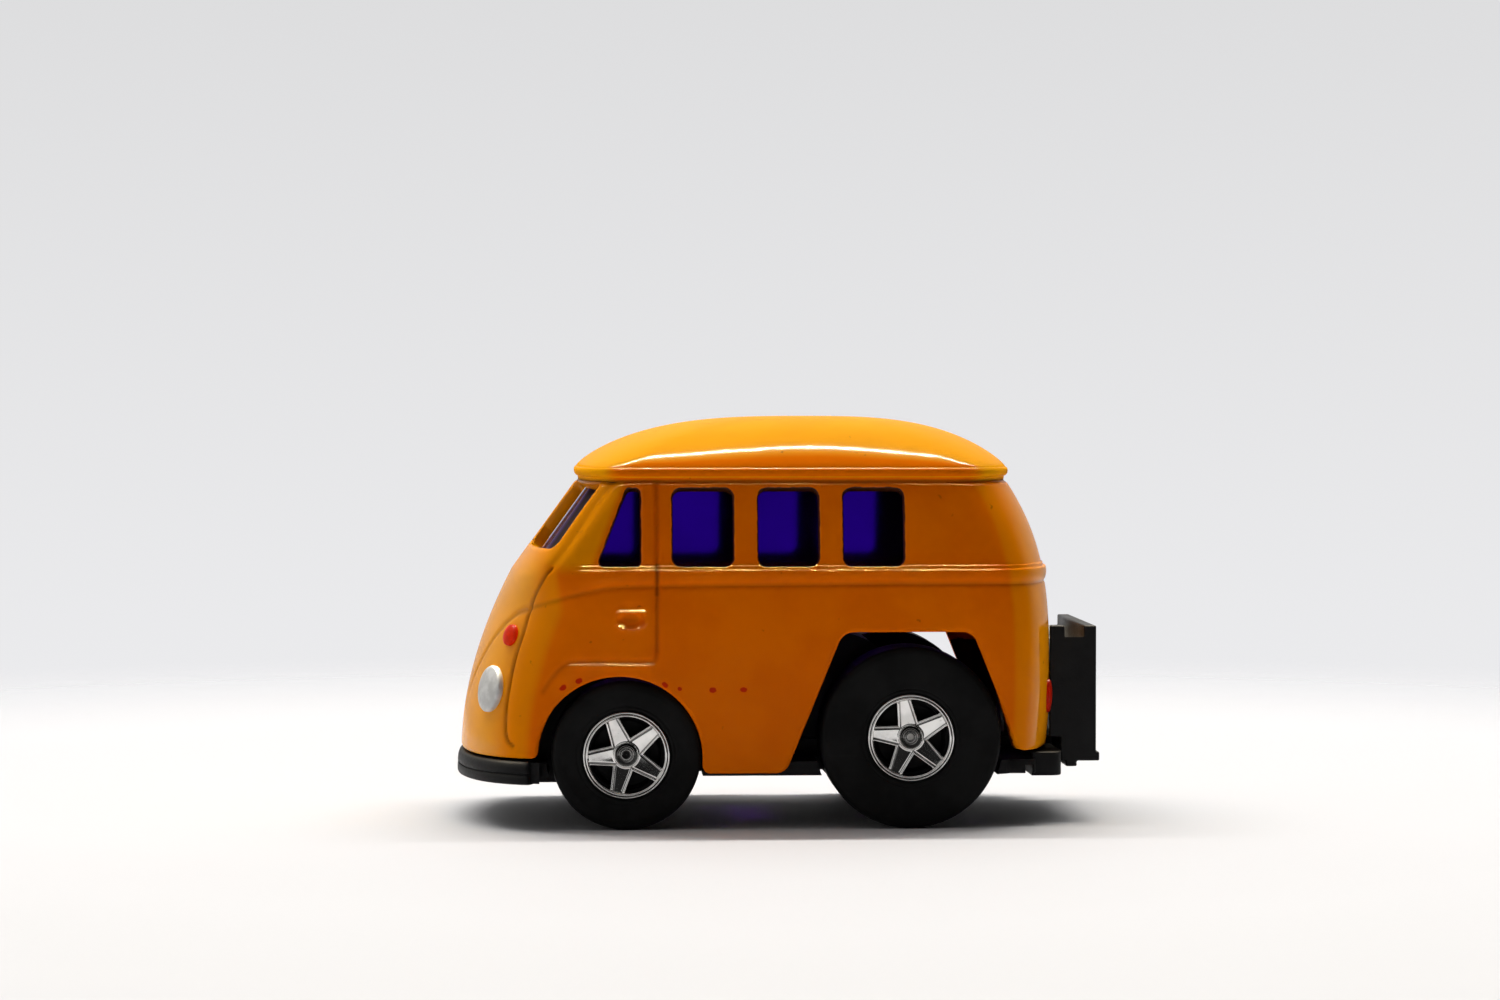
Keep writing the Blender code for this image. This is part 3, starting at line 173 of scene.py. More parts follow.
def quad_grid(rows, columns, wrap=False):
    """Faces of a grid of points, row after row; wrap joins the last column to the first."""
    row = np.arange(rows - 1)[:, None] * columns
    column = np.arange(columns if wrap else columns - 1)[None, :]
    after = (column + 1) % columns
    faces = np.stack([row + column, row + after, row + columns + after, row + columns + column], -1)
    return faces.reshape(-1, 4)


def split_quads(quads):
    """Two triangles from each four-sided face."""
    return np.concatenate([quads[:, [0, 1, 2]], quads[:, [0, 2, 3]]])


def turned_over(faces):
    """The same faces seen from the other side."""
    return faces[:, ::-1]


def fan(ring, tip, inwards=False):
    """Triangles that close a ring of points at a tip."""
    after = np.roll(ring, -1)
    pair = (after, ring) if inwards else (ring, after)
    return np.stack([*pair, np.full(len(ring), tip)], 1)


def level_ring(outline, z):
    """An outline in plan, laid at a height."""
    return np.column_stack([outline, np.full(len(outline), z)])


def graded(low, high, step, places=(), width=0.3, gain=2.0):
    """Places from low to high, a step apart, closer by 1 + gain near each named place.

    The spacing is the inverse of a density, 1 plus a bell curve at each place, summed and read back.
    """
    fine = np.linspace(low, high, 4001)
    density = np.ones_like(fine)
    for place in places:
        density += gain * bell(fine - place, width)
    total = np.concatenate([[0], np.cumsum((density[1:] + density[:-1]) / 2 * np.diff(fine))])
    count = max(2, int(round(total[-1] / step)))
    return np.interp(np.linspace(0, total[-1], count + 1), total, fine)


def put_mesh(name, points, faces, material, values=None, sharp=50):
    """A mesh object at the origin from points in millimetres and arrays of triangles and quads."""
    corners = [f for f in faces if len(f)]
    flat = np.concatenate([f.ravel() for f in corners]).astype(np.int32)
    counts = np.concatenate([np.full(len(f), f.shape[1]) for f in corners])
    starts = np.concatenate([[0], np.cumsum(counts)[:-1]]).astype(np.int32)
    mesh = bpy.data.meshes.new(name)
    mesh.vertices.add(len(points))
    mesh.vertices.foreach_set("co", (np.asarray(points, float) * MM).astype(np.float32).ravel())
    mesh.loops.add(len(flat))
    mesh.loops.foreach_set("vertex_index", flat)
    mesh.polygons.add(len(counts))
    mesh.polygons.foreach_set("loop_start", starts)
    mesh.update(calc_edges=True)
    mesh.validate()
    for key, value in (values or {}).items():
        layer = mesh.attributes.new(key, "FLOAT", "POINT")
        layer.data.foreach_set("value", np.asarray(value, np.float32).ravel())
    mesh.materials.append(material)
    return put_object(name, mesh, sharp)


def put_object(name, mesh, sharp):
    """An object for a mesh, shaded smooth up to an angle in degrees."""
    mesh.shade_smooth()
    mesh.set_sharp_from_angle(angle=math.radians(sharp))
    piece = bpy.data.objects.new(name, mesh)
    bpy.context.scene.collection.objects.link(piece)
    return piece


def fit_piece(piece, body, slot, *nodes):
    """Rides a piece on its body and hides the solids that it stands for; slot, the finish's name, is not
    used.
    """
    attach(piece, body)
    if nodes:
        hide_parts(*nodes)
    return piece


def cut_sheet(points, faces, field, carried):
    """Keeps the part of a triangle sheet where a field is positive.

    A triangle that the zero line crosses is cut along it; the new corners lie where the field, taken as
    straight along each edge, is zero. Returns the points, triangles, carried values and rim edges.
    """
    inside = field > 0
    code = inside[faces].sum(1)
    whole = faces[code == 3]
    mixed = faces[(code == 1) | (code == 2)]
    alone_in = code[(code == 1) | (code == 2)] == 1
    first = np.argmax(inside[mixed] == alone_in[:, None], axis=1)
    order = (first[:, None] + np.arange(3)) % 3
    a, b, c = np.take_along_axis(mixed, order, 1).T
    edges = np.sort(np.concatenate([np.stack([a, b], 1), np.stack([a, c], 1)]), axis=1)
    unique, place = np.unique(edges, axis=0, return_inverse=True)
    place = place.reshape(-1) + len(points)
    ab, ac = place[:len(a)], place[len(a):]
    share = (field[unique[:, 0]] / (field[unique[:, 0]] - field[unique[:, 1]]))[:, None]

    def extended(values):
        values = values.reshape(len(values), -1)
        middle = values[unique[:, 0]] + (values[unique[:, 1]] - values[unique[:, 0]]) * share
        return np.concatenate([values, middle])

    out = ~alone_in
    pieces = [whole, np.stack([a, ab, ac], 1)[alone_in], np.stack([ab, b, c], 1)[out],
              np.stack([ab, c, ac], 1)[out]]
    rim = np.concatenate([np.stack([ab, ac], 1)[alone_in], np.stack([ac, ab], 1)[out]])
    faces = np.concatenate(pieces)
    points = extended(points)
    used = np.unique(faces)
    renumber = np.full(len(points), -1)
    renumber[used] = np.arange(len(used))
    carried = {key: extended(value)[used] for key, value in carried.items()}
    return points[used], renumber[faces], carried, renumber[rim]


def rim_wall(points, rim, inner_points):
    """Quads from a cut edge to the same edge moved inwards, with the moved points added at the end."""
    at = np.unique(rim)
    moved = np.full(len(points), -1)
    moved[at] = len(points) + np.arange(len(at))
    wall = np.stack([rim[:, 1], rim[:, 0], moved[rim[:, 0]], moved[rim[:, 1]]], 1)
    return np.concatenate([points, inner_points[at]]), wall, at


def oblong(left, right, low, high):
    """Corners of an upright oblong, turning left."""
    return [(left, low), (right, low), (right, high), (left, high)]


def polygon_field(x, z, corners):
    """Distance to a polygon's outline, positive outside it and negative inside."""
    corners = np.asarray(corners, float)
    nearest = np.full(np.shape(x), np.inf)
    inside = np.zeros(np.shape(x), bool)
    for (ax, az), (bx, bz) in zip(corners, np.roll(corners, -1, 0)):
        ex, ez = bx - ax, bz - az
        share = np.clip(((x - ax) * ex + (z - az) * ez) / (ex * ex + ez * ez), 0, 1)
        nearest = np.minimum(nearest, (x - ax - share * ex) ** 2 + (z - az - share * ez) ** 2)
        crosses = (az > z) != (bz > z)
        reach = ax + (z - az) * ex / (ez if ez else 1e-12)
        inside ^= crosses & (x < reach)
    return np.sqrt(nearest) * np.where(inside, -1, 1)


def inset_corners(corners, distance):
    """A polygon that turns left, with each edge moved inwards by a distance."""
    corners = np.asarray(corners, float)
    edge = np.roll(corners, -1, 0) - corners
    edge /= np.linalg.norm(edge, axis=1)[:, None]
    normal = np.stack([-edge[:, 1], edge[:, 0]], 1)
    before = np.roll(edge, 1, 0)
    offset = corners + np.roll(normal, 1, 0) * distance
    delta = corners + normal * distance - offset
    cross = before[:, 0] * edge[:, 1] - before[:, 1] * edge[:, 0]
    along = (delta[:, 0] * edge[:, 1] - delta[:, 1] * edge[:, 0]) / cross
    return offset + before * along[:, None]


def rounded_field(x, z, corners, radius):
    """Distance to a polygon with round corners: the inset polygon's distance less the radius."""
    return polygon_field(x, z, inset_corners(corners, radius)) - radius


def round_meet(first, second, radius):
    """The smaller of two distances, with the corner where they meet rounded to a radius."""
    near = np.hypot(np.maximum(radius - first, 0), np.maximum(radius - second, 0))
    return np.where((first < radius) & (second < radius), radius - near, np.minimum(first, second))


def path_distance(points, path):
    """Least distance in space from each point to a broken line."""
    nearest = np.full(points.shape[:-1], np.inf)
    for start, end in zip(path[:-1], path[1:]):
        step = end - start
        share = np.clip(((points - start) @ step) / (step @ step), 0, 1)
        nearest = np.minimum(nearest, ((points - start - share[..., None] * step) ** 2).sum(-1))
    return np.sqrt(nearest)


def lathe(profile, centre, side, steps, closed=False):
    """A profile of (radius, depth inwards from the wheel's face) turned about an axle along Y.

    A point is the centre plus radius times (cos, 0, sin) of the turn, with Y from the depth. If closed,
    the profile's end is joined to its start.
    """
    turn = np.linspace(0, 2 * np.pi, steps, endpoint=False)
    radius, depth = profile[:, :1], profile[:, 1:]
    x = centre[0] + radius * np.cos(turn)
    z = centre[2] + radius * np.sin(turn)
    y = np.broadcast_to(centre[1] - side * depth, x.shape)
    faces = [quad_grid(len(profile), steps, wrap=True)]
    if closed:
        first = np.arange(steps)
        after = np.roll(first, -1)
        last = (len(profile) - 1) * steps
        faces.append(np.stack([last + first, last + after, after, first], 1))
    if side == LEFT:
        faces = [turned_over(part) for part in faces]
    return np.stack([x, y, z], -1).reshape(-1, 3), faces


def smooth_profile(corners, steps):
    """A soft curve through the corners of a profile: each span is a Catmull-Rom cubic."""
    p = np.asarray(corners, float)
    p = np.concatenate([[2 * p[0] - p[1]], p, [2 * p[-1] - p[-2]]])
    t = np.linspace(0, 1, steps, endpoint=False)[:, None, None]
    a, b, c, d = p[:-3], p[1:-2], p[2:-1], p[3:]
    curve = 0.5 * (2 * b + (c - a) * t + (2 * a - 5 * b + 4 * c - d) * t ** 2
                   + (3 * b - a - 3 * c + d) * t ** 3)
    return np.concatenate([np.swapaxes(curve, 0, 1).reshape(-1, 2), p[-2:-1]])


# Finishes

class NodeMaker:
    """Adds nodes to a tree by kind, with values or links for their sockets."""

    def __init__(self, tree):
        self.tree = tree
        tree.nodes.clear()

    def node(self, kind, sockets=None, **settings):
        """A new node with its own settings, then its sockets."""
        made = self.tree.nodes.new(kind)
        for key, value in settings.items():
            setattr(made, key, value)
        self.set(made, sockets or {})
        return made

    def set(self, node, sockets):
        """Fills sockets with links, colours of three numbers or plain values."""
        for key, value in sockets.items():
            socket = node.inputs[key]
            if isinstance(value, bpy.types.NodeSocket):
                self.tree.links.new(value, socket)
            elif socket.type == "RGBA":
                socket.default_value = (*value, 1)
            else:
                socket.default_value = value

    def place(self):
        return self.node("ShaderNodeTexCoord").outputs["Object"]

    def attribute(self, name):
        return self.node("ShaderNodeAttribute", attribute_name=name).outputs["Fac"]

    def noise(self, place, scale, detail, rough=0.5):
        sockets = {"Vector": place, "Scale": scale, "Detail": detail, "Roughness": rough}
        return self.node("ShaderNodeTexNoise", sockets).outputs["Fac"]

    def reach(self, vector):
        """The length of a vector."""
        return self.node("ShaderNodeVectorMath", {0: vector}, operation="LENGTH").outputs["Value"]

    def mix(self, factor, first, second):
        return self.node("ShaderNodeMix", {0: factor, 6: first, 7: second}, data_type="RGBA").outputs[2]

    def math(self, way, first, second, clamp=False):
        return self.node("ShaderNodeMath", {0: first, 1: second}, operation=way, use_clamp=clamp).outputs[0]

    def plus(self, first, second, clamp=False):
        return self.math("ADD", first, second, clamp)

    def less(self, first, second):
        return self.math("SUBTRACT", first, second)

    def times(self, first, second, clamp=False):
        return self.math("MULTIPLY", first, second, clamp)

    def span(self, value, low, high, to_low=0.0, to_high=1.0, way="LINEAR"):
        """A value read from one range onto another, straight or eased."""
        sockets = {"Value": value, "From Min": low, "From Max": high, "To Min": to_low, "To Max": to_high}
        return self.node("ShaderNodeMapRange", sockets, interpolation_type=way).outputs["Result"]

    def ramp(self, value, low, high):
        """An eased rise from 0 to 1 between two values."""
        return self.span(value, low, high, way="SMOOTHSTEP")

    def bump(self, height, distance):
        """A bump normal, with its distance in millimetres."""
        sockets = {"Height": height, "Distance": distance * MM, "Strength": 1.0}
        return self.node("ShaderNodeBump", sockets).outputs["Normal"]

    def group(self, build, **sockets):
        """A shared node group, built by its function the first time that it is asked for."""
        tree = bpy.data.node_groups.get(build.__name__) or build()
        made = self.node("ShaderNodeGroup", node_tree=tree)
        self.set(made, {key.replace("_", " "): value for key, value in sockets.items()})
        return made.outputs


class Look(NodeMaker):
    """A material in the making, with its shader and output."""

    def __init__(self, name):
        self.material = bpy.data.materials.new(name)
        self.material.use_nodes = True
        super().__init__(self.material.node_tree)
        self.shader = self.node("ShaderNodeBsdfPrincipled")
        self.node("ShaderNodeOutputMaterial", {"Surface": self.shader.outputs[0]})

    def finish(self, **sockets):
        self.set(self.shader, {key.replace("_", " "): value for key, value in sockets.items()})
        return self.material


GREY, DIM_GREY, DARK_GREY = (0.5, 0.5, 0.5), (0.4, 0.4, 0.4), (0.1, 0.1, 0.1)
TINT, NUMBER = "NodeSocketColor", "NodeSocketFloat"


def start_group(name, inputs, outputs):
    """An empty shader group: inputs have defaults, three numbers for a tint, and outputs have kinds."""
    tree = bpy.data.node_groups.new(name, "ShaderNodeTree")
    for label, default in inputs.items():
        tinted = isinstance(default, tuple)
        socket = tree.interface.new_socket(label, in_out="INPUT", socket_type=TINT if tinted else NUMBER)
        socket.default_value = (*default, 1) if tinted else default
    for label, kind in outputs.items():
        tree.interface.new_socket(label, in_out="OUTPUT", socket_type=kind)
    maker = NodeMaker(tree)
    return maker, maker.node("NodeGroupInput").outputs, maker.node("NodeGroupOutput")


def surface_mottle():
    """Slow change between two tints, with a fine grain for roughness and bump."""
    maker, start, end = start_group(
        "surface_mottle",
        {"Tint": GREY, "Second Tint": DIM_GREY, "Patch Scale": 200.0, "Grain Scale": 2500.0,
         "Smooth": 0.25, "Rough": 0.35},
        {"Color": TINT, "Roughness": NUMBER, "Height": NUMBER})
    place = maker.place()
    patch = maker.noise(place, start["Patch Scale"], 3.0, 0.55)
    grain = maker.noise(place, start["Grain Scale"], 4.0, 0.6)
    tint = maker.mix(maker.ramp(patch, 0.35, 0.65), start["Tint"], start["Second Tint"])
    both = maker.plus(maker.times(patch, 0.5), maker.times(grain, 0.5))
    rough = maker.span(both, 0.35, 0.65, start["Smooth"], start["Rough"])
    maker.set(end, {"Color": tint, "Roughness": rough, "Height": grain})
    return maker.tree


def scuff_marks():
    """Sparse marks: a stretched noise and a speck noise, each cut off near its top."""
    maker, start, end = start_group(
        "scuff_marks",
        {"Speck Scale": 900.0, "Speck Level": 0.72, "Scratch Scale": 300.0, "Scratch Level": 0.70},
        {"Specks": NUMBER, "Scratches": NUMBER})
    place = maker.place()
    drawn = maker.node("ShaderNodeMapping", {"Vector": place, "Rotation": (0.0, 0.4, 0.0),
                                             "Scale": (0.15, 1.0, 3.0)}).outputs["Vector"]
    specks = maker.less(maker.noise(place, start["Speck Scale"], 2.0), start["Speck Level"])
    scratches = maker.less(maker.noise(drawn, start["Scratch Scale"], 3.0), start["Scratch Level"])
    maker.set(end, {"Specks": maker.times(specks, 14.0, clamp=True),
                    "Scratches": maker.times(scratches, 10.0, clamp=True)})
    return maker.tree


def seam_dirt_and_shade():
    """Darkens a colour where the piece's own seam and edge values are high: dirty seams, dark window edges
    and painted shade.
    """
    maker, start, end = start_group(
        "seam_dirt_and_shade",
        {"Color": GREY, "Dirt": DARK_GREY, "Edge Color": DARK_GREY, "Amount": 0.7},
        {"Color": TINT, "Mask": NUMBER})
    seam = maker.times(maker.attribute("seam"), start["Amount"], clamp=True)
    ragged = maker.times(maker.less(maker.noise(maker.place(), 1400.0, 3.0), 0.5), 0.9)
    edge = maker.ramp(maker.plus(maker.attribute("edge"), ragged), 0.45, 0.75)
    dirt_and_shade_mixed = maker.mix(seam, start["Color"], start["Dirt"])
    maker.set(end, {"Color": maker.mix(edge, dirt_and_shade_mixed, start["Edge Color"]),
                    "Mask": maker.math("MAXIMUM", seam, edge)})
    return maker.tree


FLECK_TINT, SPECK_TINT = paint(196, 16, 6), paint(92, 44, 10)
# Overspray flecks: place along and up, half length, half height and slant
FLECKS = ((-15.47, 10.14, 0.32, 0.22, 35), (-14.34, 10.63, 0.28, 0.20, 30), (-8.28, 10.32, 0.26, 0.18, -40),
          (-7.22, 10.03, 0.18, 0.14, -20), (-4.89, 9.95, 0.26, 0.20, 0), (-2.70, 9.94, 0.28, 0.20, 0))


def fleck_mask(look, place):
    """Flecks on the left side: slanted ellipses in side view, with ragged outlines."""
    split = look.node("ShaderNodeSeparateXYZ", {"Vector": place}).outputs
    flat = look.node("ShaderNodeCombineXYZ", {"X": split["X"], "Z": split["Z"]}).outputs[0]
    ragged = look.times(look.noise(place, 3000.0, 2.0), 0.8)
    spots = []
    for x, z, long, tall, slant in FLECKS:
        sockets = {"Vector": flat, "Location": (x * MM, 0.0, z * MM),
                   "Rotation": (0.0, -math.radians(slant), 0.0), "Scale": (long * MM, 1.0, tall * MM)}
        drawn = look.node("ShaderNodeMapping", sockets, vector_type="TEXTURE").outputs[0]
        spots.append(look.ramp(look.plus(look.reach(drawn), ragged), 1.5, 1.15))
    mask = spots[0]
    for spot in spots[1:]:
        mask = look.math("MAXIMUM", mask, spot)
    return look.times(mask, look.ramp(split["Y"], 0.0, -2 * MM))


def body_paint(name, colours, tint, deep, painted_light_tint, coat):
    """Glossy amber paint with dirty seams, painted shade in hollows and inside, thin dark window edges, a
    few red overspray flecks, and a second tint of painted light and shade from the turn attribute.
    """
    look = Look(name)
    place = look.place()
    base = look.group(surface_mottle, Tint=tint, Second_Tint=deep, Patch_Scale=170.0, Grain_Scale=1500.0,
                      Smooth=0.34, Rough=0.46)
    marks = look.group(scuff_marks, Speck_Scale=1300.0, Speck_Level=0.735, Scratch_Scale=420.0,
                       Scratch_Level=0.715)
    # Painted light and shade: turn mixes in a second tint, paler at the body's ends and the deeper body tint
    # on the roof's steeper sides
    tone = look.mix(look.attribute("turn"), base["Color"], painted_light_tint)
    tone = look.mix(look.times(fleck_mask(look, place), 0.9), tone, FLECK_TINT)
    tone = look.mix(look.times(marks["Specks"], 0.45), tone, SPECK_TINT)
    dirt_and_shade = look.group(seam_dirt_and_shade, Color=tone, Dirt=colours.seam, Edge_Color=colours.rim, Amount=0.75)
    rough = look.plus(base["Roughness"], look.times(dirt_and_shade["Mask"], 0.3))
    rough = look.plus(rough, look.times(marks["Scratches"], 0.12), clamp=True)
    grain = look.less(base["Height"], look.times(marks["Specks"], 0.6))
    normal = look.bump(look.plus(look.noise(place, 480.0, 2.0), look.times(grain, 0.15)), 0.02)
    clear = look.plus(look.times(look.attribute("polish"), 1 - coat), coat, clamp=True)
    return look.finish(Base_Color=dirt_and_shade["Color"], Roughness=rough, Normal=normal, Coat_Weight=clear,
                       Coat_Normal=normal, Coat_Roughness=0.09, Specular_IOR_Level=0.0)


def enamel(name, tint, rough, metal):
    """Dabbed lamp paint: uneven tint, a slight grain and a soft gloss, with metal flake in it or none."""
    look = Look(name)
    base = look.group(surface_mottle, Tint=tint, Second_Tint=shade(tint, 0.72), Patch_Scale=900.0,
                      Grain_Scale=5200.0, Smooth=rough, Rough=rough + 0.15)
    return look.finish(Base_Color=base["Color"], Roughness=base["Roughness"],
                       Normal=look.bump(base["Height"], 0.010), Coat_Weight=0.05, Coat_Roughness=0.06,
                       Specular_IOR_Level=0.05, Metallic=metal)


def moulded_plastic(name, tint, patch=260.0, grain=4200.0, rough=0.42, bump=0.014, gloss=0.12):
    """Moulded plastic: a faint cloudy tint, fine spark-eroded grain and dull scuffs."""
    look = Look(name)
    base = look.group(surface_mottle, Tint=tint, Second_Tint=shade(tint, 1.5, 0.002), Patch_Scale=patch,
                      Grain_Scale=grain, Smooth=rough, Rough=rough + 0.18)
    marks = look.group(scuff_marks, Speck_Scale=1700.0, Speck_Level=0.74, Scratch_Scale=520.0,
                       Scratch_Level=0.70)
    tone = look.mix(look.times(marks["Scratches"], 0.5), base["Color"], shade(tint, 2.2, 0.01))
    return look.finish(Base_Color=tone, Roughness=base["Roughness"], Specular_IOR_Level=gloss,
                       Normal=look.bump(base["Height"], bump))


def bare_metal(name, tint, smooth, rough, bump):
    """Plated or drawn metal with a cloudy sheen, fine pits, hairline marks and painted shade in its hollows.
    """
    look = Look(name)
    base = look.group(surface_mottle, Tint=tint, Second_Tint=shade(tint, 0.8), Patch_Scale=700.0,
                      Grain_Scale=3600.0, Smooth=smooth, Rough=rough)
    marks = look.group(scuff_marks, Speck_Scale=2600.0, Speck_Level=0.70, Scratch_Scale=900.0,
                       Scratch_Level=0.66)
    tone = look.mix(look.times(marks["Specks"], 0.6), base["Color"], shade(tint, 0.4))
    # Painted shade in the hollows, from the piece's own attribute
    tone = look.mix(look.attribute("hollow_shade"), tone, shade(tint, 0.04))
    worn = look.plus(base["Roughness"], look.times(marks["Scratches"], 0.25), clamp=True)
    return look.finish(Base_Color=tone, Roughness=worn, Metallic=1.0,
                       Normal=look.bump(base["Height"], bump))


def tinted_clear(tint):
    """Violet-blue see-through plastic, a little hazy, with faint mould waves and painted shade on its bends,
    which are also duller.
    """
    look = Look("tinted_clear_plastic")
    base = look.group(surface_mottle, Tint=tint, Second_Tint=shade(tint, 0.86), Patch_Scale=140.0,
                      Grain_Scale=600.0, Smooth=0.17, Rough=0.22)
    # Painted shade: the tray's bends beside the screen go nearly black and rougher
    shaded_bend = look.attribute("shaded_bend")
    tone = look.mix(shaded_bend, base["Color"], (0.02, 0.010, 0.012))
    rough = look.plus(base["Roughness"], look.times(shaded_bend, 0.75), clamp=True)
    return look.finish(Base_Color=tone, Roughness=rough, IOR=1.12, Transmission_Weight=1.0,
                       Normal=look.bump(base["Height"], 0.004))


def gear_nylon(name, tint):
    """Smooth moulded nylon for the gears."""
    return moulded_plastic(name, tint, patch=400.0, grain=3000.0, rough=0.36, bump=0.008)


# The shell's form, in millimetres

NOSE_X, BELT_NOSE_X, SCREEN_TOP_X, TAIL_X = -22.9, -19.25, -14.4, 20.1
NOSE_BOTTOM_Z, SILL_Z, TAIL_BOTTOM_Z, BELT_Z = 5.1, 3.98, 5.45, 18.0
BULGE_Z, TAIL_TUCK, TAIL_LEAN, CROWN_X = 10.0, 0.45, 3.24, 2.4
SIDE_TUCK, SIDE_LEAN = 0.4, 1.3
NOSE_POWER, TAIL_POWER, SIDE_POWER = 1.85, 3.13, 1.5
NOSE_ROUND, SCREEN_ROUND, TAIL_ROUND = 7.0, 4.6, 5.5
NOSE_SQUARE, SCREEN_SQUARE, TAIL_SQUARE = 2.3, 3.0, 2.8
SQUARE_FROM_Z, SQUARE_RISE = 15.0, 4.5
WINDOW_SILL_Z, WINDOW_TOP_Z = 18.70, 24.15
WINDOW_WIDTH, WINDOW_CORNER = 4.25, 0.62
WINDOW_FRONTS = [-7.71 + i * 6.05 for i in range(3)]
QUARTER_REAR_X, QUARTER_SILL, QUARTER_TOP, QUARTER_CORNER = -10.04, 3.0, 0.9, 0.34
SCREEN_PANE, SCREEN_CORNER = [(0.5, 19.95), (11.3, 19.95), (10.3, 24.55), (0.5, 24.55)], 0.45
BACK_PANE, BACK_CORNER = oblong(-5.6, 5.6, 19.6, 23.6), 0.8
SCREEN_BEFORE_X, BACK_BEYOND_X = -9.8, 11.0
NO_WINDOW = 50.0
SHUT_X, SHUT_BOTTOM_Z = -8.84, 12.6
# Reference nose for the grid's columns, and the pillars between which they stand upright
GRID_NOSE_X, GRID_FRONT_X, GRID_BACK_X = -22.0, -10.2, 9.0
NOSE_ARC, TAIL_ARC = 16.5, 14.0


class Shell:
    """The body's outline at any height, from the panel's sizes."""

    def __init__(self, sizes):
        self.half = sizes.half_width / MM
        self.gutter = sizes.gutter_z / MM
        self.roof = sizes.roof_z / MM
        self.wall = sizes.wall / MM

    def nose(self, z):
        """A power curve up to the belt, then a straight raked screen."""
        rise = np.clip((z - NOSE_BOTTOM_Z) / (BELT_Z - NOSE_BOTTOM_Z), 0, None)
        low = NOSE_X + (BELT_NOSE_X - NOSE_X) * rise ** NOSE_POWER
        high = BELT_NOSE_X + (SCREEN_TOP_X - BELT_NOSE_X) * (z - BELT_Z) / (self.gutter - BELT_Z)
        return np.where(z > BELT_Z, high, low)

    def tail(self, z):
        """Fullest at the bulge, with a square law below it and a higher power above."""
        low = TAIL_X - TAIL_TUCK * ((BULGE_Z - z) / (BULGE_Z - SILL_Z)) ** 2
        high = TAIL_X - TAIL_LEAN * np.clip((z - BULGE_Z) / (self.gutter - BULGE_Z), 0, None) ** TAIL_POWER
        return np.where(z < BULGE_Z, low, high)

    def half_width(self, z):
        """Widest at the belt, drawn in by a square law below it and a power of 1.5 above."""
        low = self.half - SIDE_TUCK * ((BELT_Z - z) / (BELT_Z - SILL_Z)) ** 2
        high = self.half - SIDE_LEAN * np.clip((z - BELT_Z) / (self.gutter - BELT_Z), 0, None) ** SIDE_POWER
        return np.where(z < BELT_Z, low, high)

    def nose_form(self, z):
        """Depth and power of the nose's superellipse, eased from the nose's to the screen's."""
        share = smoothstep((z - SQUARE_FROM_Z) / SQUARE_RISE)
        return (NOSE_ROUND + (SCREEN_ROUND - NOSE_ROUND) * share,
                NOSE_SQUARE + (SCREEN_SQUARE - NOSE_SQUARE) * share)

    def across(self, x, z):
        """Half width at a place: superellipse ends, squarer at the screen than at the nose."""
        reach, power = self.nose_form(z)
        ahead = np.clip((self.nose(z) + reach - x) / reach, 0, 1)
        behind = np.clip((x - self.tail(z) + TAIL_ROUND) / TAIL_ROUND, 0, 1)
        front = (1 - ahead ** power) ** (1 / power)
        back = (1 - behind ** TAIL_SQUARE) ** (1 / TAIL_SQUARE)
        return self.half_width(z) * np.minimum(front, back)

    def nose_place(self, y, z):
        """X on the nose at a half width and height: the superellipse solved for X."""
        reach, power = self.nose_form(z)
        along = np.clip(1 - np.abs(y / self.half_width(z)) ** power, 0, 1) ** (1 / power)
        return self.nose(z) + reach * (1 - along)

    def tail_place(self, y, z):
        """X on the tail at a half width and height, in the same way."""
        along = np.clip(1 - np.abs(y / self.half_width(z)) ** TAIL_SQUARE, 0, 1) ** (1 / TAIL_SQUARE)
        return self.tail(z) - TAIL_ROUND * (1 - along)

    def columns(self, step):
        """Places along X at a reference height: by angle round the ends, graded along the side."""
        front = np.linspace(0, 1, int(NOSE_ARC / step))[:-1] ** 1.4 * np.pi / 2
        nose = GRID_NOSE_X + NOSE_ROUND * (1 - np.cos(front) ** (2 / NOSE_SQUARE))
        edges = [SHUT_X, QUARTER_REAR_X]
        for left in WINDOW_FRONTS:
            edges += [left, left + WINDOW_WIDTH]
        side = graded(GRID_NOSE_X + NOSE_ROUND, TAIL_X - TAIL_ROUND, step, edges, width=0.28, gain=1.6)
        back = np.linspace(1, 0, int(TAIL_ARC / step))[1:] ** 1.3 * np.pi / 2
        tail = TAIL_X - TAIL_ROUND + TAIL_ROUND * np.cos(back) ** (2 / TAIL_SQUARE)
        return np.concatenate([nose, side, tail])

    def spread(self, columns, z):
        """Columns at each height: upright between the pillars, drawn to the nose and tail beyond them."""
        front, back = GRID_FRONT_X, GRID_BACK_X
        nose = front + (columns - front) * (self.nose(z) - front) / (GRID_NOSE_X - front)
        tail = back + (columns - back) * (self.tail(z) - back) / (TAIL_X - back)
        return np.where(columns < front, nose, np.where(columns > back, tail, columns))

    def sheet(self, columns, z, side):
        """Points and outward normals of one side, rows by columns."""
        z = np.broadcast_to(z, (len(z), len(columns)))
        x = self.spread(columns[None, :], z)
        points = np.stack([x, side * self.across(x, z), z], -1)
        normal = np.cross(np.gradient(points, axis=1), np.gradient(points, axis=0)) * -side
        normal[:, [0, -1], 1] = 0
        return points, normal / np.linalg.norm(normal, axis=-1)[..., None]

    def on_side(self, places, side):
        """A path on one side from (x, z) corners, smoothed and lifted to the surface."""
        x, z = smooth_profile(places, 24).T
        return np.stack([x, side * self.across(x, z), z], -1)

    def on_nose(self, places, side):
        """A path on the nose from (half width, z) corners, smoothed and lifted to the surface."""
        y, z = smooth_profile(places, 16).T
        return np.stack([self.nose_place(y, z), side * y, z], -1)


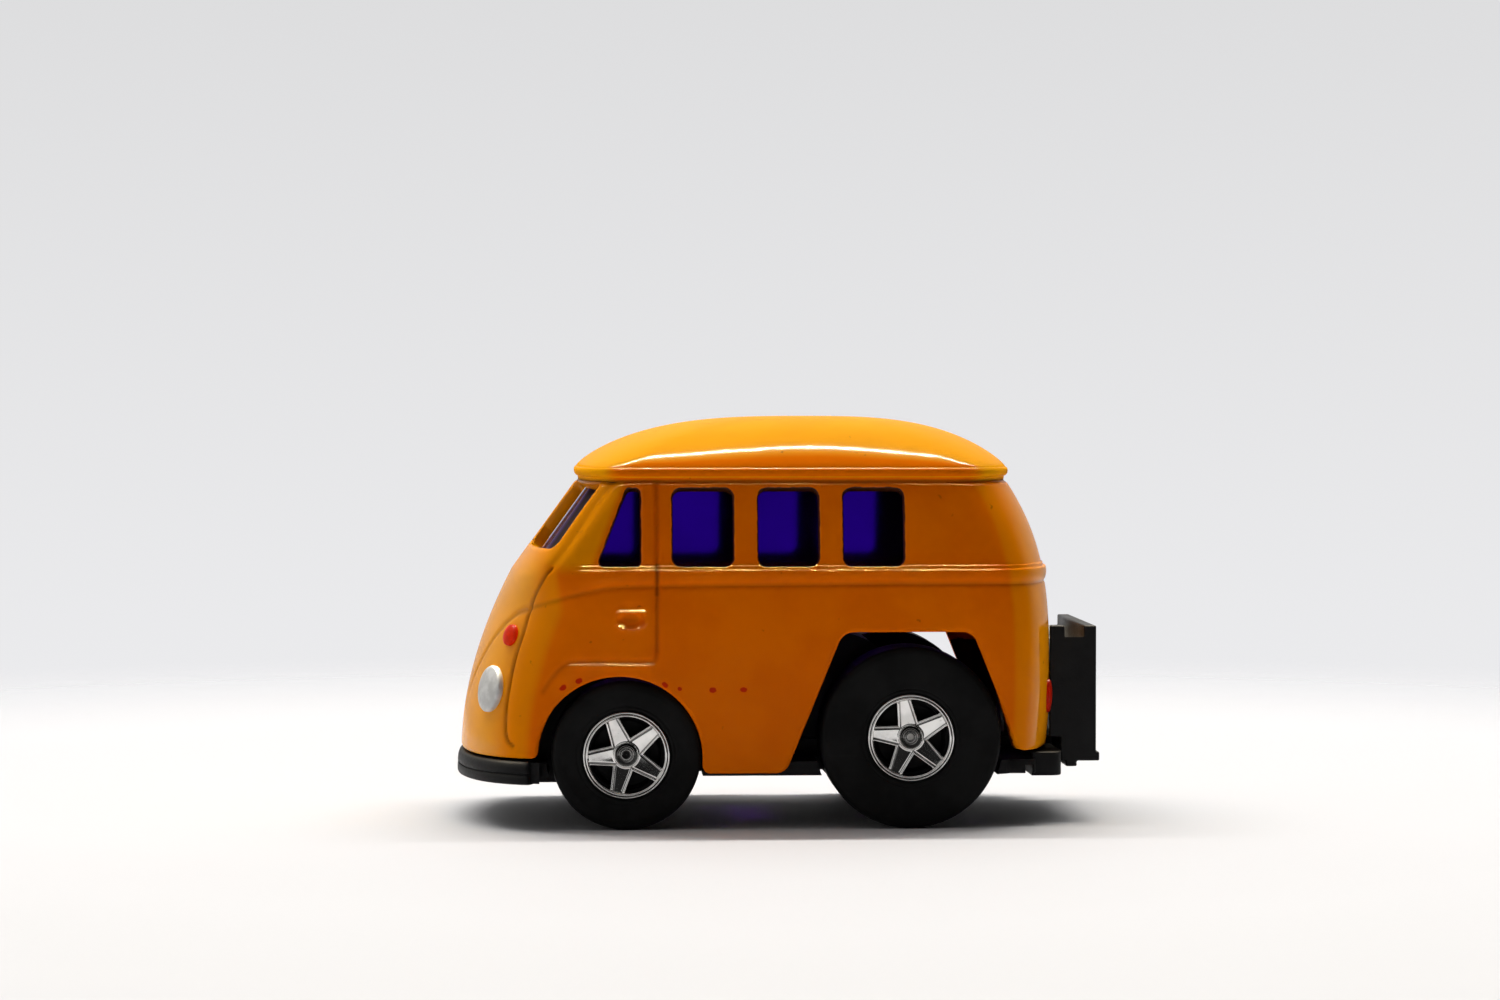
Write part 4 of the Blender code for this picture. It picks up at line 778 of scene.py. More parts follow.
FRONT_ARCH_AHEAD, FRONT_ARCH_DOWN, FRONT_ARCH_GAP = 0.5, 0.3, 0.6
REAR_ARCH_LEAN, REAR_ARCH_CORNER, REAR_ARCH_ABOVE, REAR_ARCH_FOOT_Z = math.radians(22), 1.2, 1.1, -3
REAR_ARCH_GAP_AHEAD, REAR_ARCH_GAP_BEHIND = 0.9, 0.42
# Rounding where each arch meets the lower edge, ahead of the axle and behind it
FRONT_ARCH_MEETS, REAR_ARCH_MEETS = (0.35, 0.65), (0.65, 0.45)


def arch_fields(x, z, sizes):
    """Distances from the front arch, a circle, and the rear arch, a leaning four-sided opening."""
    front_x = joint_place("front_axle_spin")[0] - FRONT_ARCH_AHEAD
    rear_x = joint_place("rear_axle_spin")[0]
    front_r, rear_r = sizes.front_radius / MM, sizes.rear_radius / MM
    front = np.hypot(x - front_x, z - front_r + FRONT_ARCH_DOWN) - front_r - FRONT_ARCH_GAP

    def leg(height, way, gap):
        drawn_in = math.sin(REAR_ARCH_LEAN) * (height - rear_r)
        return rear_x + way * (rear_r + gap - drawn_in) / math.cos(REAR_ARCH_LEAN), height

    foot, top = REAR_ARCH_FOOT_Z, 2 * rear_r + REAR_ARCH_ABOVE
    corners = [leg(foot, -1, REAR_ARCH_GAP_AHEAD), leg(foot, 1, REAR_ARCH_GAP_BEHIND),
               leg(top, 1, REAR_ARCH_GAP_BEHIND), leg(top, -1, REAR_ARCH_GAP_AHEAD)]
    return front, rounded_field(x, z, corners, REAR_ARCH_CORNER), front_x, rear_x


def window_fields(points):
    """Distances from the nearest side window, in side view, and the screen or back window, in end view."""
    x, y, z = points[..., 0], points[..., 1], points[..., 2]
    quarter = [(QUARTER_REAR_X - QUARTER_SILL, WINDOW_SILL_Z), (QUARTER_REAR_X, WINDOW_SILL_Z),
               (QUARTER_REAR_X, WINDOW_TOP_Z), (QUARTER_REAR_X - QUARTER_TOP, WINDOW_TOP_Z)]
    field = rounded_field(x, z, quarter, QUARTER_CORNER)
    for left in WINDOW_FRONTS:
        corners = oblong(left, left + WINDOW_WIDTH, WINDOW_SILL_Z, WINDOW_TOP_Z)
        field = np.minimum(field, rounded_field(x, z, corners, WINDOW_CORNER))
    screen = rounded_field(np.abs(y), z, SCREEN_PANE, SCREEN_CORNER)
    rear = rounded_field(y, z, BACK_PANE, BACK_CORNER)
    return field, np.minimum(np.where(x < SCREEN_BEFORE_X, screen, NO_WINDOW),
                             np.where(x > BACK_BEYOND_X, rear, NO_WINDOW))


def lower_field(points, sizes):
    """Distance above the shell's lower edge, with the arches cut out of it and their corners rounded."""
    x, z = points[..., 0], points[..., 2]
    front, rear, front_x, rear_x = arch_fields(x, z, sizes)
    low = np.where(x < front_x, NOSE_BOTTOM_Z, np.where(x < rear_x, SILL_Z, TAIL_BOTTOM_Z))
    field = round_meet(z - low, front, np.where(x < front_x, *FRONT_ARCH_MEETS))
    return round_meet(field, rear, np.where(x < rear_x, *REAR_ARCH_MEETS))


DOOR_FRONT = ((-16.35, 18.6), (-16.9, 17.7), (-17.4, 16.75), (-17.75, 15.8), (-18.2, 14.2), (-18.9, 12.0),
              (-19.4, 9.4), (-19.57, 7.5), (-19.45, 6.4), (-19.05, 5.95))
DOOR_CORNER = ((-8.84, 12.7), (-8.95, 12.15), (-9.4, 11.93), (-11.5, 11.93), (-14.4, 11.95), (-15.2, 11.8),
               (-15.8, 11.35), (-16.4, 10.6), (-16.9, 9.9))
PILLAR = ((-16.35, 18.6), (-15.5, 19.65), (-13.9, 21.95), (-12.5, 24.05), (-12.05, 24.6))
NOSE_CREASE = ((10.5, 15.55), (9.9, 15.4), (9.2, 15.1), (8.0, 14.2), (6.6, 12.9), (4.8, 10.9), (2.9, 8.6),
               (1.2, 6.7), (0.0, 5.7))
BELT_SEAM_X = (-17.75, -16.6, -15.3, -13.9, -12.5, -11.1, -5.5, 6.9, 20.0)
BELT_SEAM_Z = (15.67, 16.08, 16.47, 16.84, 17.12, 17.25, 17.31, 17.42, 17.40)
BELT_SEAM_FROM_X, BELT_FROM_X, BELT_GLINT_TO_X = -17.8, -15.2, 15.6
# Share of the rise, height and softness of the belt's two steps; height and softness of their glints
BELT_STEPS = ((0.38, 18.76, 0.08), (0.62, 18.48, 0.12))
BELT_GLINTS = ((18.70, 0.07), (18.40, 0.09))
DOOR_LEDGE_Z, DOOR_LEDGE_FOOT_Z, DOOR_LEDGE_PROUD = 11.80, 11.0, 0.13
DOOR_LEDGE_GLINT, DOOR_LEDGE_TO_X = 0.7, -9
POST_FROM_X, POST_TO_X, POST_FROM_Z, POST_PROUD = -9.98, -9.02, 18.8, 0.07
HANDLE_X, HANDLE_Z, HANDLE_GLINT = -10.67, 15.36, 0.6
HANDLE_BAR_HALF, HANDLE_BAR_ROUND, HANDLE_BAR_PROUD = 0.82, 0.30, 0.17
HANDLE_GROOVE_HALF, HANDLE_GROOVE_UP, HANDLE_GROOVE_DEEP = 0.75, 0.43, 0.06
HANDLE_CUP_Z, HANDLE_CUP_WIDE, HANDLE_CUP_TALL, HANDLE_CUP_DEEP = 14.98, 1.02, 0.72, 0.24
HANDLE_LIP_Z, HANDLE_LIP_PROUD = 14.9, 0.11


def seams(shell, points, side, seam_z):
    """Each seam's distance, its share of the seam depth and width, and how dark it is."""
    x, z = points[..., 0], points[..., 2]
    upright = np.where(z > SHUT_BOTTOM_Z, np.abs(x - SHUT_X), np.hypot(x - SHUT_X, z - SHUT_BOTTOM_Z))
    upright_dark = np.where((z > 16.6) & (z < 18.9), 0.95, np.where(z > BELT_Z, 0.28, 0.5))
    return ((np.where(x > BELT_SEAM_FROM_X, np.abs(z - seam_z), 9), 0.55, 1.3, 0.42),
            (path_distance(points, shell.on_side(DOOR_FRONT, side)), 1.3, 1.1, 0.85),
            (path_distance(points, shell.on_side(PILLAR, side)), 1.2, 3.2, 0.12),
            (path_distance(points, shell.on_nose(NOSE_CREASE, side)), 1.0, 1.5, 0.35),
            (upright, 1.25, 1.2, upright_dark),
            (path_distance(points, shell.on_side(DOOR_CORNER, side)), 1.0, 1.3, 0.3))


def handle_relief(x, z):
    """The door handle, a bar over a shallow cup with a lip, from ellipse distances.

    Returns its height, the painted shade in the cup and where its edges catch the light.
    """
    along = x - HANDLE_X
    bar = np.hypot(np.maximum(np.abs(along) - HANDLE_BAR_HALF, 0), z - HANDLE_Z)
    groove = np.hypot(np.maximum(np.abs(along) - HANDLE_GROOVE_HALF, 0), z - HANDLE_Z - HANDLE_GROOVE_UP)
    cup = np.hypot(along / HANDLE_CUP_WIDE, (z - HANDLE_CUP_Z) / HANDLE_CUP_TALL)
    lip = np.abs(cup - 1.08)
    below = smoothstep((HANDLE_LIP_Z - z) / 0.3)
    height = HANDLE_BAR_PROUD * smoothstep((HANDLE_BAR_ROUND - bar) / 0.22)
    height = height - HANDLE_GROOVE_DEEP * bell(groove, 0.2)
    height = height - HANDLE_CUP_DEEP * smoothstep((1.0 - cup) / 0.35) * (z < HANDLE_Z + 0.06)
    height = height + HANDLE_LIP_PROUD * bell(lip, 0.12) * below
    # Painted shade in the handle's cup
    dark = 0.35 * smoothstep((0.75 - cup) / 0.4) * (z < HANDLE_Z - 0.06) * smoothstep((z - 14.5) / 0.4)
    bright = np.maximum(bell(bar - 0.19, 0.1) * smoothstep((z - HANDLE_Z) / 0.1), bell(lip, 0.10) * below)
    return height, dark, HANDLE_GLINT * bright


def shell_relief(shell, points, side, sizes):
    """Height of the belt, seams, ledges and handle above the plain shell, how dark each seam is with painted
    shade in the handle's cup, and where the paint is thick and bright.

    A seam is a bell curve of the distance to its path; the belt is a ramp up to its ledge in two steps and
    a softer ramp at its lower seam.
    """
    x, z = points[..., 0], points[..., 2]
    seam_z = np.interp(x, BELT_SEAM_X, BELT_SEAM_Z)
    fade = smoothstep((x - BELT_FROM_X) / 2.6)
    ledge = sum(share * smoothstep((edge_z - z) / soft) for share, edge_z, soft in BELT_STEPS)
    height = sizes.belt_proud / MM * fade * ledge * np.sqrt(smoothstep((z - seam_z + 0.05) / 0.9))
    dark = np.zeros(x.shape)
    for distance, depth, width, darkness in seams(shell, points, side, seam_z):
        groove = bell(distance, sizes.seam_width / MM * width)
        height = height - sizes.seam_depth / MM * depth * groove
        dark = np.maximum(dark, groove * darkness)
    door = smoothstep((x - BELT_FROM_X) / 0.9)
    step = smoothstep((DOOR_LEDGE_Z - z) / 0.09) * smoothstep((z - DOOR_LEDGE_FOOT_Z) / 0.7)
    height = height + DOOR_LEDGE_PROUD * step * door * smoothstep((SHUT_X - 0.06 - x) / 0.5)
    post = smoothstep((x - POST_FROM_X) / 0.12) * smoothstep((POST_TO_X - x) / 0.1)
    post = post * smoothstep((z - POST_FROM_Z) / 0.2)
    handle, handle_shade, handle_bright = handle_relief(x, z)
    height = height + POST_PROUD * post + handle
    belt_glint = np.maximum(*(bell(z - edge_z, soft) for edge_z, soft in BELT_GLINTS)) * fade
    bright = np.maximum(belt_glint * smoothstep((BELT_GLINT_TO_X - x) / 1.2), handle_bright)
    ledge_glint = DOOR_LEDGE_GLINT * bell(z - DOOR_LEDGE_Z, 0.1) * door * (x < DOOR_LEDGE_TO_X)
    bright = np.maximum(bright, ledge_glint)
    return height, np.maximum(dark, handle_shade), bright


GUTTER_GAP, GUTTER_SHADE = 0.02, 0.35
FINE_ROWS_Z = (18.72, 18.42, 17.3, 24.2, 24.6, 15.5, 11.75)
INNER_ROWS, INNER_WINDOW_GAP = 84, 0.04


def thin_paint(base, ahead):
    """Share of painted light, a paler tint: round the ends, by how far the surface faces along X, and on the
    pillar.
    """
    x, z = base[..., 0], base[..., 2]
    ends = 0.45 * smoothstep((ahead - 0.28) / 0.17) + 0.55 * smoothstep((ahead - 0.62) / 0.3)
    slope = (QUARTER_SILL - QUARTER_TOP) / (WINDOW_TOP_Z - WINDOW_SILL_Z)
    pillar = QUARTER_REAR_X - QUARTER_TOP - slope * (WINDOW_TOP_Z - z)
    raked = smoothstep((pillar - 0.1 - x) / 0.6) * smoothstep((z - 17.9) / 1.2)
    return np.maximum(ends * np.where(x > 0, 0.75, 1.0), 0.65 * raked)


def inner_skin(shell, sizes, side, columns):
    """One side moved in by the wall's thickness, on a coarser grid, with windows cut a little wider."""
    rows = np.linspace(SILL_Z, shell.gutter - GUTTER_GAP, INNER_ROWS)
    spaced = columns[::2] if len(columns) % 2 else np.append(columns[::2], columns[-1])
    base, normal = shell.sheet(spaced, rows[:, None], side)
    field = np.minimum(np.minimum(*window_fields(base)) - INNER_WINDOW_GAP, lower_field(base, sizes))
    faces = split_quads(quad_grid(*base.shape[:2]))
    if side == LEFT:
        faces = turned_over(faces)
    return cut_sheet((base - normal * shell.wall).reshape(-1, 3), faces, field.ravel(), {})[:2]


def shell_half(shell, sizes, side):
    """One side of the shell: relief along the normal, openings cut out, rims and an inner skin."""
    rows = graded(SILL_Z, shell.gutter - GUTTER_GAP, 0.165, FINE_ROWS_Z, width=0.1, gain=6.0)
    columns = shell.columns(0.15)
    base, normal = shell.sheet(columns, rows[:, None], side)
    window, screen = window_fields(base)
    opening = np.minimum(window, screen)
    field = np.minimum(opening, lower_field(base, sizes))
    height, dark, bright = shell_relief(shell, base, side, sizes)
    top = rows[:, None] - (shell.gutter - GUTTER_SHADE)
    height = height - edge_drop(field, sizes.edge_round / MM) - 0.10 * smoothstep(top / 0.3)
    # Painted shade just under the roof's lip
    dark = np.maximum(dark, 0.75 * smoothstep((top - 0.08) / 0.2))
    ahead = np.abs(normal[..., 0])
    bright = np.maximum(bright, 0.3 * bell(opening - 0.09, 0.1))
    bright = np.maximum(bright, 0.5 * smoothstep((ahead - 0.55) / 0.35))
    # turn is painted light: a paler tint where the surface faces the ends, and on the raked pillar
    carried = {"base": base, "normal": normal, "seam": dark, "edge": bell(np.maximum(window, 0), 0.14),
               "polish": bright, "turn": thin_paint(base, ahead), "rim": np.where(screen < 0.2, 0.25, 1.0)}
    carried = {key: value.reshape(field.size, -1) for key, value in carried.items()}
    faces = split_quads(quad_grid(*field.shape))
    if side == RIGHT:
        faces = turned_over(faces)
    points = (base + normal * height[..., None]).reshape(-1, 3)
    points, faces, carried, rim = cut_sheet(points, faces, field.ravel(), carried)
    points, wall, at = rim_wall(points, rim, carried["base"] - carried["normal"] * shell.wall)
    skin, skin_faces = inner_skin(shell, sizes, side, columns)
    bare = np.zeros(len(skin))
    values = {key: np.concatenate([carried[key].ravel(), carried[key][at].ravel(), bare])
              for key in ("seam", "polish", "turn")}
    # The openings' walls take the dark edge colour, a quarter of it at the screen; the inner skin gets
    # painted shade below 12.2 mm
    values["edge"] = np.concatenate([carried["edge"].ravel(), carried["rim"][at].ravel(),
                                     smoothstep((12.2 - skin[:, 2]) / 0.4)])
    return np.concatenate([points, skin]), [faces, wall, skin_faces + len(points)], values


def ring_columns(shell, columns, z, offset):
    """The whole outline at a height, moved out along its normal in plan, left side then right side."""
    points, normal = shell.sheet(columns, np.array([[z - 0.02], [z], [z + 0.02]]), LEFT)
    flat = normal[1].copy()
    flat[:, 2] = 0
    flat /= np.linalg.norm(flat, axis=1)[:, None]
    left = points[1, :, :2] + flat[:, :2] * offset
    right = left[-2:0:-1] * (1, -1)
    return np.concatenate([left, right])


# Out from the outline and up from the gutter
ROOF_LIP = ((-0.35, -0.10), (-0.10, -0.06), (-0.05, 0.10), (-0.02, 0.22), (0.10, 0.28), (0.20, 0.40),
            (0.24, 0.55), (0.23, 0.70), (0.16, 0.83), (0.04, 0.92))
# Share of the outline and share of the rise
CEILING, CEILING_RISE = ((1.0, 0.0), (0.9, 0.30), (0.7, 0.72), (0.4, 0.95)), 2.6
DOME_RINGS, SHADED_RINGS, ROOF_POLISH = 64, 10, 0.2


def roof_surface(shell):
    """The roof: a rolled bead round the gutter, then a dome that meets it at a slope.

    Each ring is the outline at the gutter moved out by the bead's profile, or drawn in towards the crown
    by a share s, turning to an oval on the way, at a height of (1 - s cubed) to the power 0.8.
    """
    columns = shell.columns(0.26)
    base = shell.gutter
    lip = smooth_profile(np.array(ROOF_LIP) + (0, base), 4)
    crown = np.array([CROWN_X, 0.0])
    rings = [level_ring(ring_columns(shell, columns, base, out), z) for out, z in lip]
    reach = rings[-1][:, :2] - crown
    start = lip[-1][1]
    longest = np.where(reach[:, 0] > 0, reach[:, 0].max(), -reach[:, 0].min())
    oval = np.hypot(reach[:, 0] / longest, reach[:, 1] / reach[:, 1].max())
    for rise in np.linspace(0, 1, DOME_RINGS)[1:-1] ** 1.15 * np.pi / 2:
        share = np.cos(rise)
        drawn = share * (share ** 2 + (1 - share ** 2) / oval)
        top = start + (shell.roof - start) * (1 - share ** 3) ** 0.8
        rings.append(level_ring(crown + reach * drawn[:, None], top))
    lip_out, lip_up = ROOF_LIP[0]
    low = base + lip_up
    under = ring_columns(shell, columns, base, lip_out) - crown
    ceiling = [level_ring(crown + under * share, low + CEILING_RISE * rise) for share, rise in CEILING]
    points = np.concatenate(rings + [[[CROWN_X, 0, shell.roof]]] + ceiling
                            + [[[CROWN_X, 0, low + CEILING_RISE]]])
    count, tip, inner_tip = len(reach), len(rings) * len(reach), len(points) - 1
    ring = np.arange(count) - count
    faces = [quad_grid(len(rings), count, wrap=True), fan(tip + ring, tip),
             turned_over(quad_grid(len(ceiling), count, wrap=True)) + tip + 1,
             fan(inner_tip + ring, inner_tip, inwards=True)]
    grid = np.stack(rings)
    normal = np.cross(np.roll(grid, -1, 1) - np.roll(grid, 1, 1), np.gradient(grid, axis=0))
    level = np.abs(normal[..., 2] / np.linalg.norm(normal, axis=2)).ravel()
    aside = np.abs(normal[..., 1] / np.hypot(normal[..., 0], normal[..., 1])).ravel()
    seam, polish, turn = np.zeros((3, len(points)))
    # Painted shade on the lowest rings, under the lip
    seam[:count * SHADED_RINGS] = np.repeat(np.clip(np.linspace(2.0, 0.0, SHADED_RINGS), 0, 1), count)
    polish[:tip] = ROOF_POLISH * smoothstep((level - 0.68) / 0.08)
    polish[tip] = ROOF_POLISH
    # Painted shade: the roof's steeper sides, facing out, go back to the deeper body tint
    turn[:tip] = smoothstep((0.80 - level) / 0.12) * smoothstep((aside - 0.72) / 0.25)
    return points, faces, {"seam": seam, "polish": polish, "edge": np.zeros(len(points)), "turn": turn}


TRAY_GAP, TRAY_THICK, TRAY_BELOW, TRAY_ROWS = 0.3, 0.7, 0.8, 14


def insert_surface(shell):
    """The clear window tray: two outlines inside the wall, carried from sill to ceiling, and capped."""
    columns = shell.columns(0.34)
    outer = shell.wall + TRAY_GAP
    inner = outer + TRAY_THICK
    heights = np.linspace(WINDOW_SILL_Z - TRAY_BELOW, shell.gutter, TRAY_ROWS)
    top = shell.gutter - TRAY_THICK
    rings = [level_ring(ring_columns(shell, columns, z, -inner), min(z, top)) for z in heights[::-1]]
    rings += [level_ring(ring_columns(shell, columns, z, -outer), z) for z in heights]
    rim = rings[-1]
    points = np.concatenate(rings + [[[CROWN_X, 0, top], [CROWN_X, 0, shell.gutter]]])
    count, tip = len(rim), len(points) - 1
    ring = np.arange(count)
    faces = [quad_grid(len(rings), count, wrap=True), fan(ring, tip - 1, inwards=True),
             fan(ring + (len(rings) - 1) * count, tip)]
    along = np.roll(rim, -1, 0) - np.roll(rim, 1, 0)
    ahead = np.abs(along[:, 1]) / np.linalg.norm(along[:, :2], axis=1)
    # Where the tray bends round the screen's corners, which get painted shade
    shaded_bend = smoothstep((ahead - 0.40) / 0.12) * smoothstep((np.abs(rim[:, 1]) - 4.0) / 2.0) * (rim[:, 0] < 0)
    return points, faces, {"shaded_bend": np.concatenate([np.tile(shaded_bend, len(rings)), [0, 0]])}


# Lamps: place across and up

HEADLAMP_PLACE, INDICATOR_PLACE, TAIL_LAMP_PLACE = (9.1, 9.84), (9.7, 13.68), (8.0, 9.1)
HEADLAMP_NARROW, TAIL_LAMP_HALVES = 0.92, (0.68, 1.2)


def lamp_surface(place, normal, half_wide, half_tall, dome, rings=20, steps=72):
    """A domed lens: rings of an ellipse, whose height follows a soft dome with a rolled rim."""
    normal = normal / np.linalg.norm(normal)
    wide = np.cross((0, 0, 1), normal)
    wide /= np.linalg.norm(wide)
    tall = np.cross(normal, wide)
    reach = np.concatenate([np.linspace(0, 1, rings)[1:], [1.0, 1.0]])[:, None]
    height = dome * np.sqrt(np.maximum(1 - 0.78 * reach ** 2, 0))
    height[-3:, 0] = dome * 0.30, -dome * 0.1, -0.6
    turn = np.linspace(0, 2 * np.pi, steps, endpoint=False)[None, :]
    points = (np.asarray(place) + (reach * np.cos(turn))[..., None] * wide * half_wide
              + (reach * np.sin(turn))[..., None] * tall * half_tall + height[..., None] * normal)
    points = np.concatenate([points.reshape(-1, 3), [np.asarray(place) + normal * dome]])
    faces = turned_over(quad_grid(len(reach), steps, wrap=True))
    return points, [faces, fan(np.arange(steps), len(points) - 1)]


def end_normal(place, y, z):
    """Direction square to the nose or tail surface, towards +X, from differences across and up."""
    step = 0.05
    across = np.array([place(y + step, z) - place(y - step, z), 2 * step, 0.0])
    up = np.array([place(y, z + step) - place(y, z - step), 0.0, 2 * step])
    return np.cross(across, up)


# Wheels: end of the van, tyre width and how far the trims are turned at rest

AXLE_ENDS = (("front", 4.2, 112), ("rear", 5.0, 101))
WHEEL_FACE_Y = 12.1
TRIM_SPOKES, TRIM_RIM, TRIM_HUB, TRIM_HOLE = 5, 0.38, 0.90, 0.26
TRIM_WEDGE_R, TRIM_WEDGE_LEAN, TRIM_CORNER = 1.25, math.radians(43.5), 0.13
TRIM_SET_IN, TRIM_DISH, TRIM_DEEP, TRIM_EDGE = 0.18, 0.14, 0.52, 0.05
TRIM_BOWL, TRIM_BOWL_DEEP, TRIM_BOWL_LIP, TRIM_RINGS = 0.80, 0.16, 0.84, (0.53, 0.35)


def tyre_profile(radius, width):
    """From the bore round the bead, side wall, shoulder, tread and inner side back to the bore."""
    face = [(3.14, 0.75), (3.14, 0.34), (3.18, 0.17), (3.34, 0.09), (3.50, 0.12), (3.68, 0.06),
            (0.55 * radius + 1.55, 0.0), (radius - 0.60, 0.01), (radius - 0.36, 0.05),
            (radius - 0.16, 0.15), (radius - 0.04, 0.32), (radius, 0.55)]
    tread = [(radius, width / 2), (radius, width - 0.6), (radius - 0.10, width - 0.25),
             (radius - 0.4, width - 0.04), (radius - 1.0, width), (3.5, width), (3.32, width - 0.15),
             (3.32, 1.2)]
    return np.concatenate([smooth_profile(face, 5)[:-1], smooth_profile([face[-1]] + tread, 4)])


def core_profile(width, capped):
    """A dished black disc behind the trim, out to the tyre's bore, with a boss over the axle if capped."""
    start = [(0.01, 0.77), (0.40, 0.77), (0.46, 0.82)] if capped else [(0.46, 2.2)]
    return np.array(start + [(0.46, 1.72), (2.3, 1.70), (2.5, 1.55), (2.52, 0.95), (2.6, 0.86),
                             (3.12, 0.84), (3.3, 0.98), (3.3, width - 0.6), (0.46, width - 0.6),
                             (0.46, 2.2)])


def trim_opening(r, angle, rim):
    """Distance outside the gaps between spokes: a wedge met by the rim's circle, with round corners."""
    sector = 2 * np.pi / TRIM_SPOKES
    local = np.mod(angle, sector) - sector / 2
    along, aside = r * np.cos(local), np.abs(r * np.sin(local))
    lean = TRIM_WEDGE_LEAN
    edge = aside * math.cos(lean) - (along - TRIM_WEDGE_R) * math.sin(lean) + TRIM_CORNER
    arc = r - rim + TRIM_CORNER
    outside = np.hypot(np.maximum(edge, 0), np.maximum(arc, 0))
    return np.minimum(np.maximum(edge, arc), 0) + outside - TRIM_CORNER


def trim_surface(centre, side, radius, turn):
    """A five-spoke plated disc as a height over a polar grid.

    The openings are wedges with their points at the hub, cut by the rim's inner circle; the height is two
    beads round the rim, a pair of ridges along each spoke's edges, and rings round a sunken hub.
    """
    rim_in = radius - TRIM_RIM
    r = np.concatenate([np.linspace(TRIM_HOLE - 0.02, 1.0, 32), np.linspace(1.0, rim_in, 42)[1:],
                        np.linspace(rim_in, radius + 0.01, 24)[1:]])[:, None]
    angle = np.linspace(0, 2 * np.pi, 520, endpoint=False)[None, :]
    opening = trim_opening(r, angle - turn, rim_in)
    in_star = smoothstep((rim_in + 0.02 - r) / 0.1)
    ridge = bell(opening - 0.09, 0.07) - 0.6 * bell(opening - 0.21, 0.05)
    height = -0.06 - TRIM_DISH * np.clip(rim_in - r, 0, 1.7)
    height = height + 0.05 * ridge * in_star * smoothstep((r - TRIM_HUB) / 0.15)
    beads = np.maximum(0.13 * bead(r - radius + 0.075, 0.085), 0.15 * bead(r - rim_in - 0.11, 0.11))
    height = np.where(r > rim_in - 0.02, 0.02 + beads, height)
    height = height - TRIM_BOWL_DEEP * smoothstep((TRIM_BOWL - r) / 0.2)
    height = height + 0.10 * bell(r - TRIM_BOWL_LIP, 0.06)
    large, small = TRIM_RINGS
    height = height + 0.08 * bell(r - large, 0.05) + 0.08 * bell(r - small, 0.05)
    height = height - edge_drop(opening, TRIM_EDGE)
    # Painted shade: dark in the valleys beside the spokes, in the sunken hub between its rings and between
    # the rim's beads
    hub_rings = bell(r - large, 0.06) + bell(r - small, 0.05)
    hollow_shade = np.maximum(0.9 * bell(opening - 0.21, 0.04) * in_star * (r > TRIM_HUB),
                       (0.92 - 0.5 * hub_rings) * smoothstep((0.79 - r) / 0.04))
    hollow_shade = np.maximum(hollow_shade, 0.5 * bell(r - rim_in - 0.20, 0.05))
    field = np.minimum(np.minimum(opening, radius - r), r - TRIM_HOLE)
    x, z = centre[0] + r * np.cos(angle), centre[2] + r * np.sin(angle)
    base = np.stack([x, np.full(x.shape, centre[1] - side * TRIM_SET_IN), z], -1)
    points = base + np.array([0, side, 0]) * height[..., None]
    faces = split_quads(quad_grid(*x.shape, wrap=True))
    if side == RIGHT:
        faces = turned_over(faces)
    points, faces, carried, rim = cut_sheet(points.reshape(-1, 3), faces, field.ravel(),
                                            {"base": base.reshape(-1, 3), "hollow_shade": hollow_shade.reshape(-1, 1)})
    deep = carried["base"] - np.array([0, side * TRIM_DEEP, 0])
    points, wall, at = rim_wall(points, rim, deep)
    # Painted shade on the openings' walls and on the trim's back
    hollow_shade = np.concatenate([carried["hollow_shade"].ravel(), np.full(len(at), 0.8), np.full(len(deep), 0.5)])
    back = turned_over(faces) + len(points)
    return np.concatenate([points, deep]), [faces, wall, back], {"hollow_shade": hollow_shade}


# Bumper, chassis and coin holder

# Out from the nose and height
BUMPER_SECTION = np.array([(-1.30, 3.24), (0.14, 3.24), (0.25, 3.29), (0.30, 3.40), (0.31, 3.60),
                           (0.29, 3.86), (0.24, 3.93), (0.13, 3.95), (0.13, 4.03), (0.26, 4.06),
                           (0.29, 4.12), (0.26, 4.45), (0.17, 4.72), (0.04, 4.86), (-0.15, 4.91),
                           (-1.30, 4.91)])
BUMPER_HALF_Y, BUMPER_END_X, BUMPER_END_ROUND, BUMPER_END_STEPS = 12.05, -16.85, 0.22, 3
BEHIND_BUMPER = (0.96, 0.96, 1)
SHELF_X, SHELF_Y = 17.0, 7.3
CLAW_X, CLAW_Y, CLAW_Z, CLAW_FAR_Y, CLAW_FOOT_Z = 20.1, 5.9, 11.1, 7.2, 6.0


def bumper_surface(shell):
    """The front bumper: a closed section with a groove along its face, carried round the nose's outline.

    Each point of the path moves the section along the outline's normal, and the ends are drawn in and
    closed.
    """
    y = np.sin(np.linspace(-1, 1, 181) * np.pi / 2 * 0.93) * BUMPER_HALF_Y
    path = np.stack([shell.nose_place(y, NOSE_BOTTOM_Z), y], -1)
    path = path[path[:, 0] < BUMPER_END_X]
    tangent = np.gradient(path, axis=0)
    normal = np.stack([-tangent[:, 1], tangent[:, 0]], -1)
    normal /= np.linalg.norm(normal, axis=1)[:, None]
    steps = np.arange(len(path))
    to_end = np.clip(1 - np.minimum(steps, steps[::-1]) / BUMPER_END_STEPS, 0, 1)
    draw = BUMPER_END_ROUND * (1 - np.sqrt(1 - to_end ** 2))
    proud, height = BUMPER_SECTION.T
    out = proud - draw[:, None] * (proud > 0)
    across = path[:, None, :] + normal[:, None, :] * out[..., None]
    points = np.concatenate([across, np.broadcast_to(height[:, None], (*out.shape, 1))], -1).reshape(-1, 3)
    ring = np.arange(len(height))
    caps = [ring[None, ::-1], (len(points) - len(height) + ring)[None, :]]
    return points, [quad_grid(len(path), len(height), wrap=True)] + caps


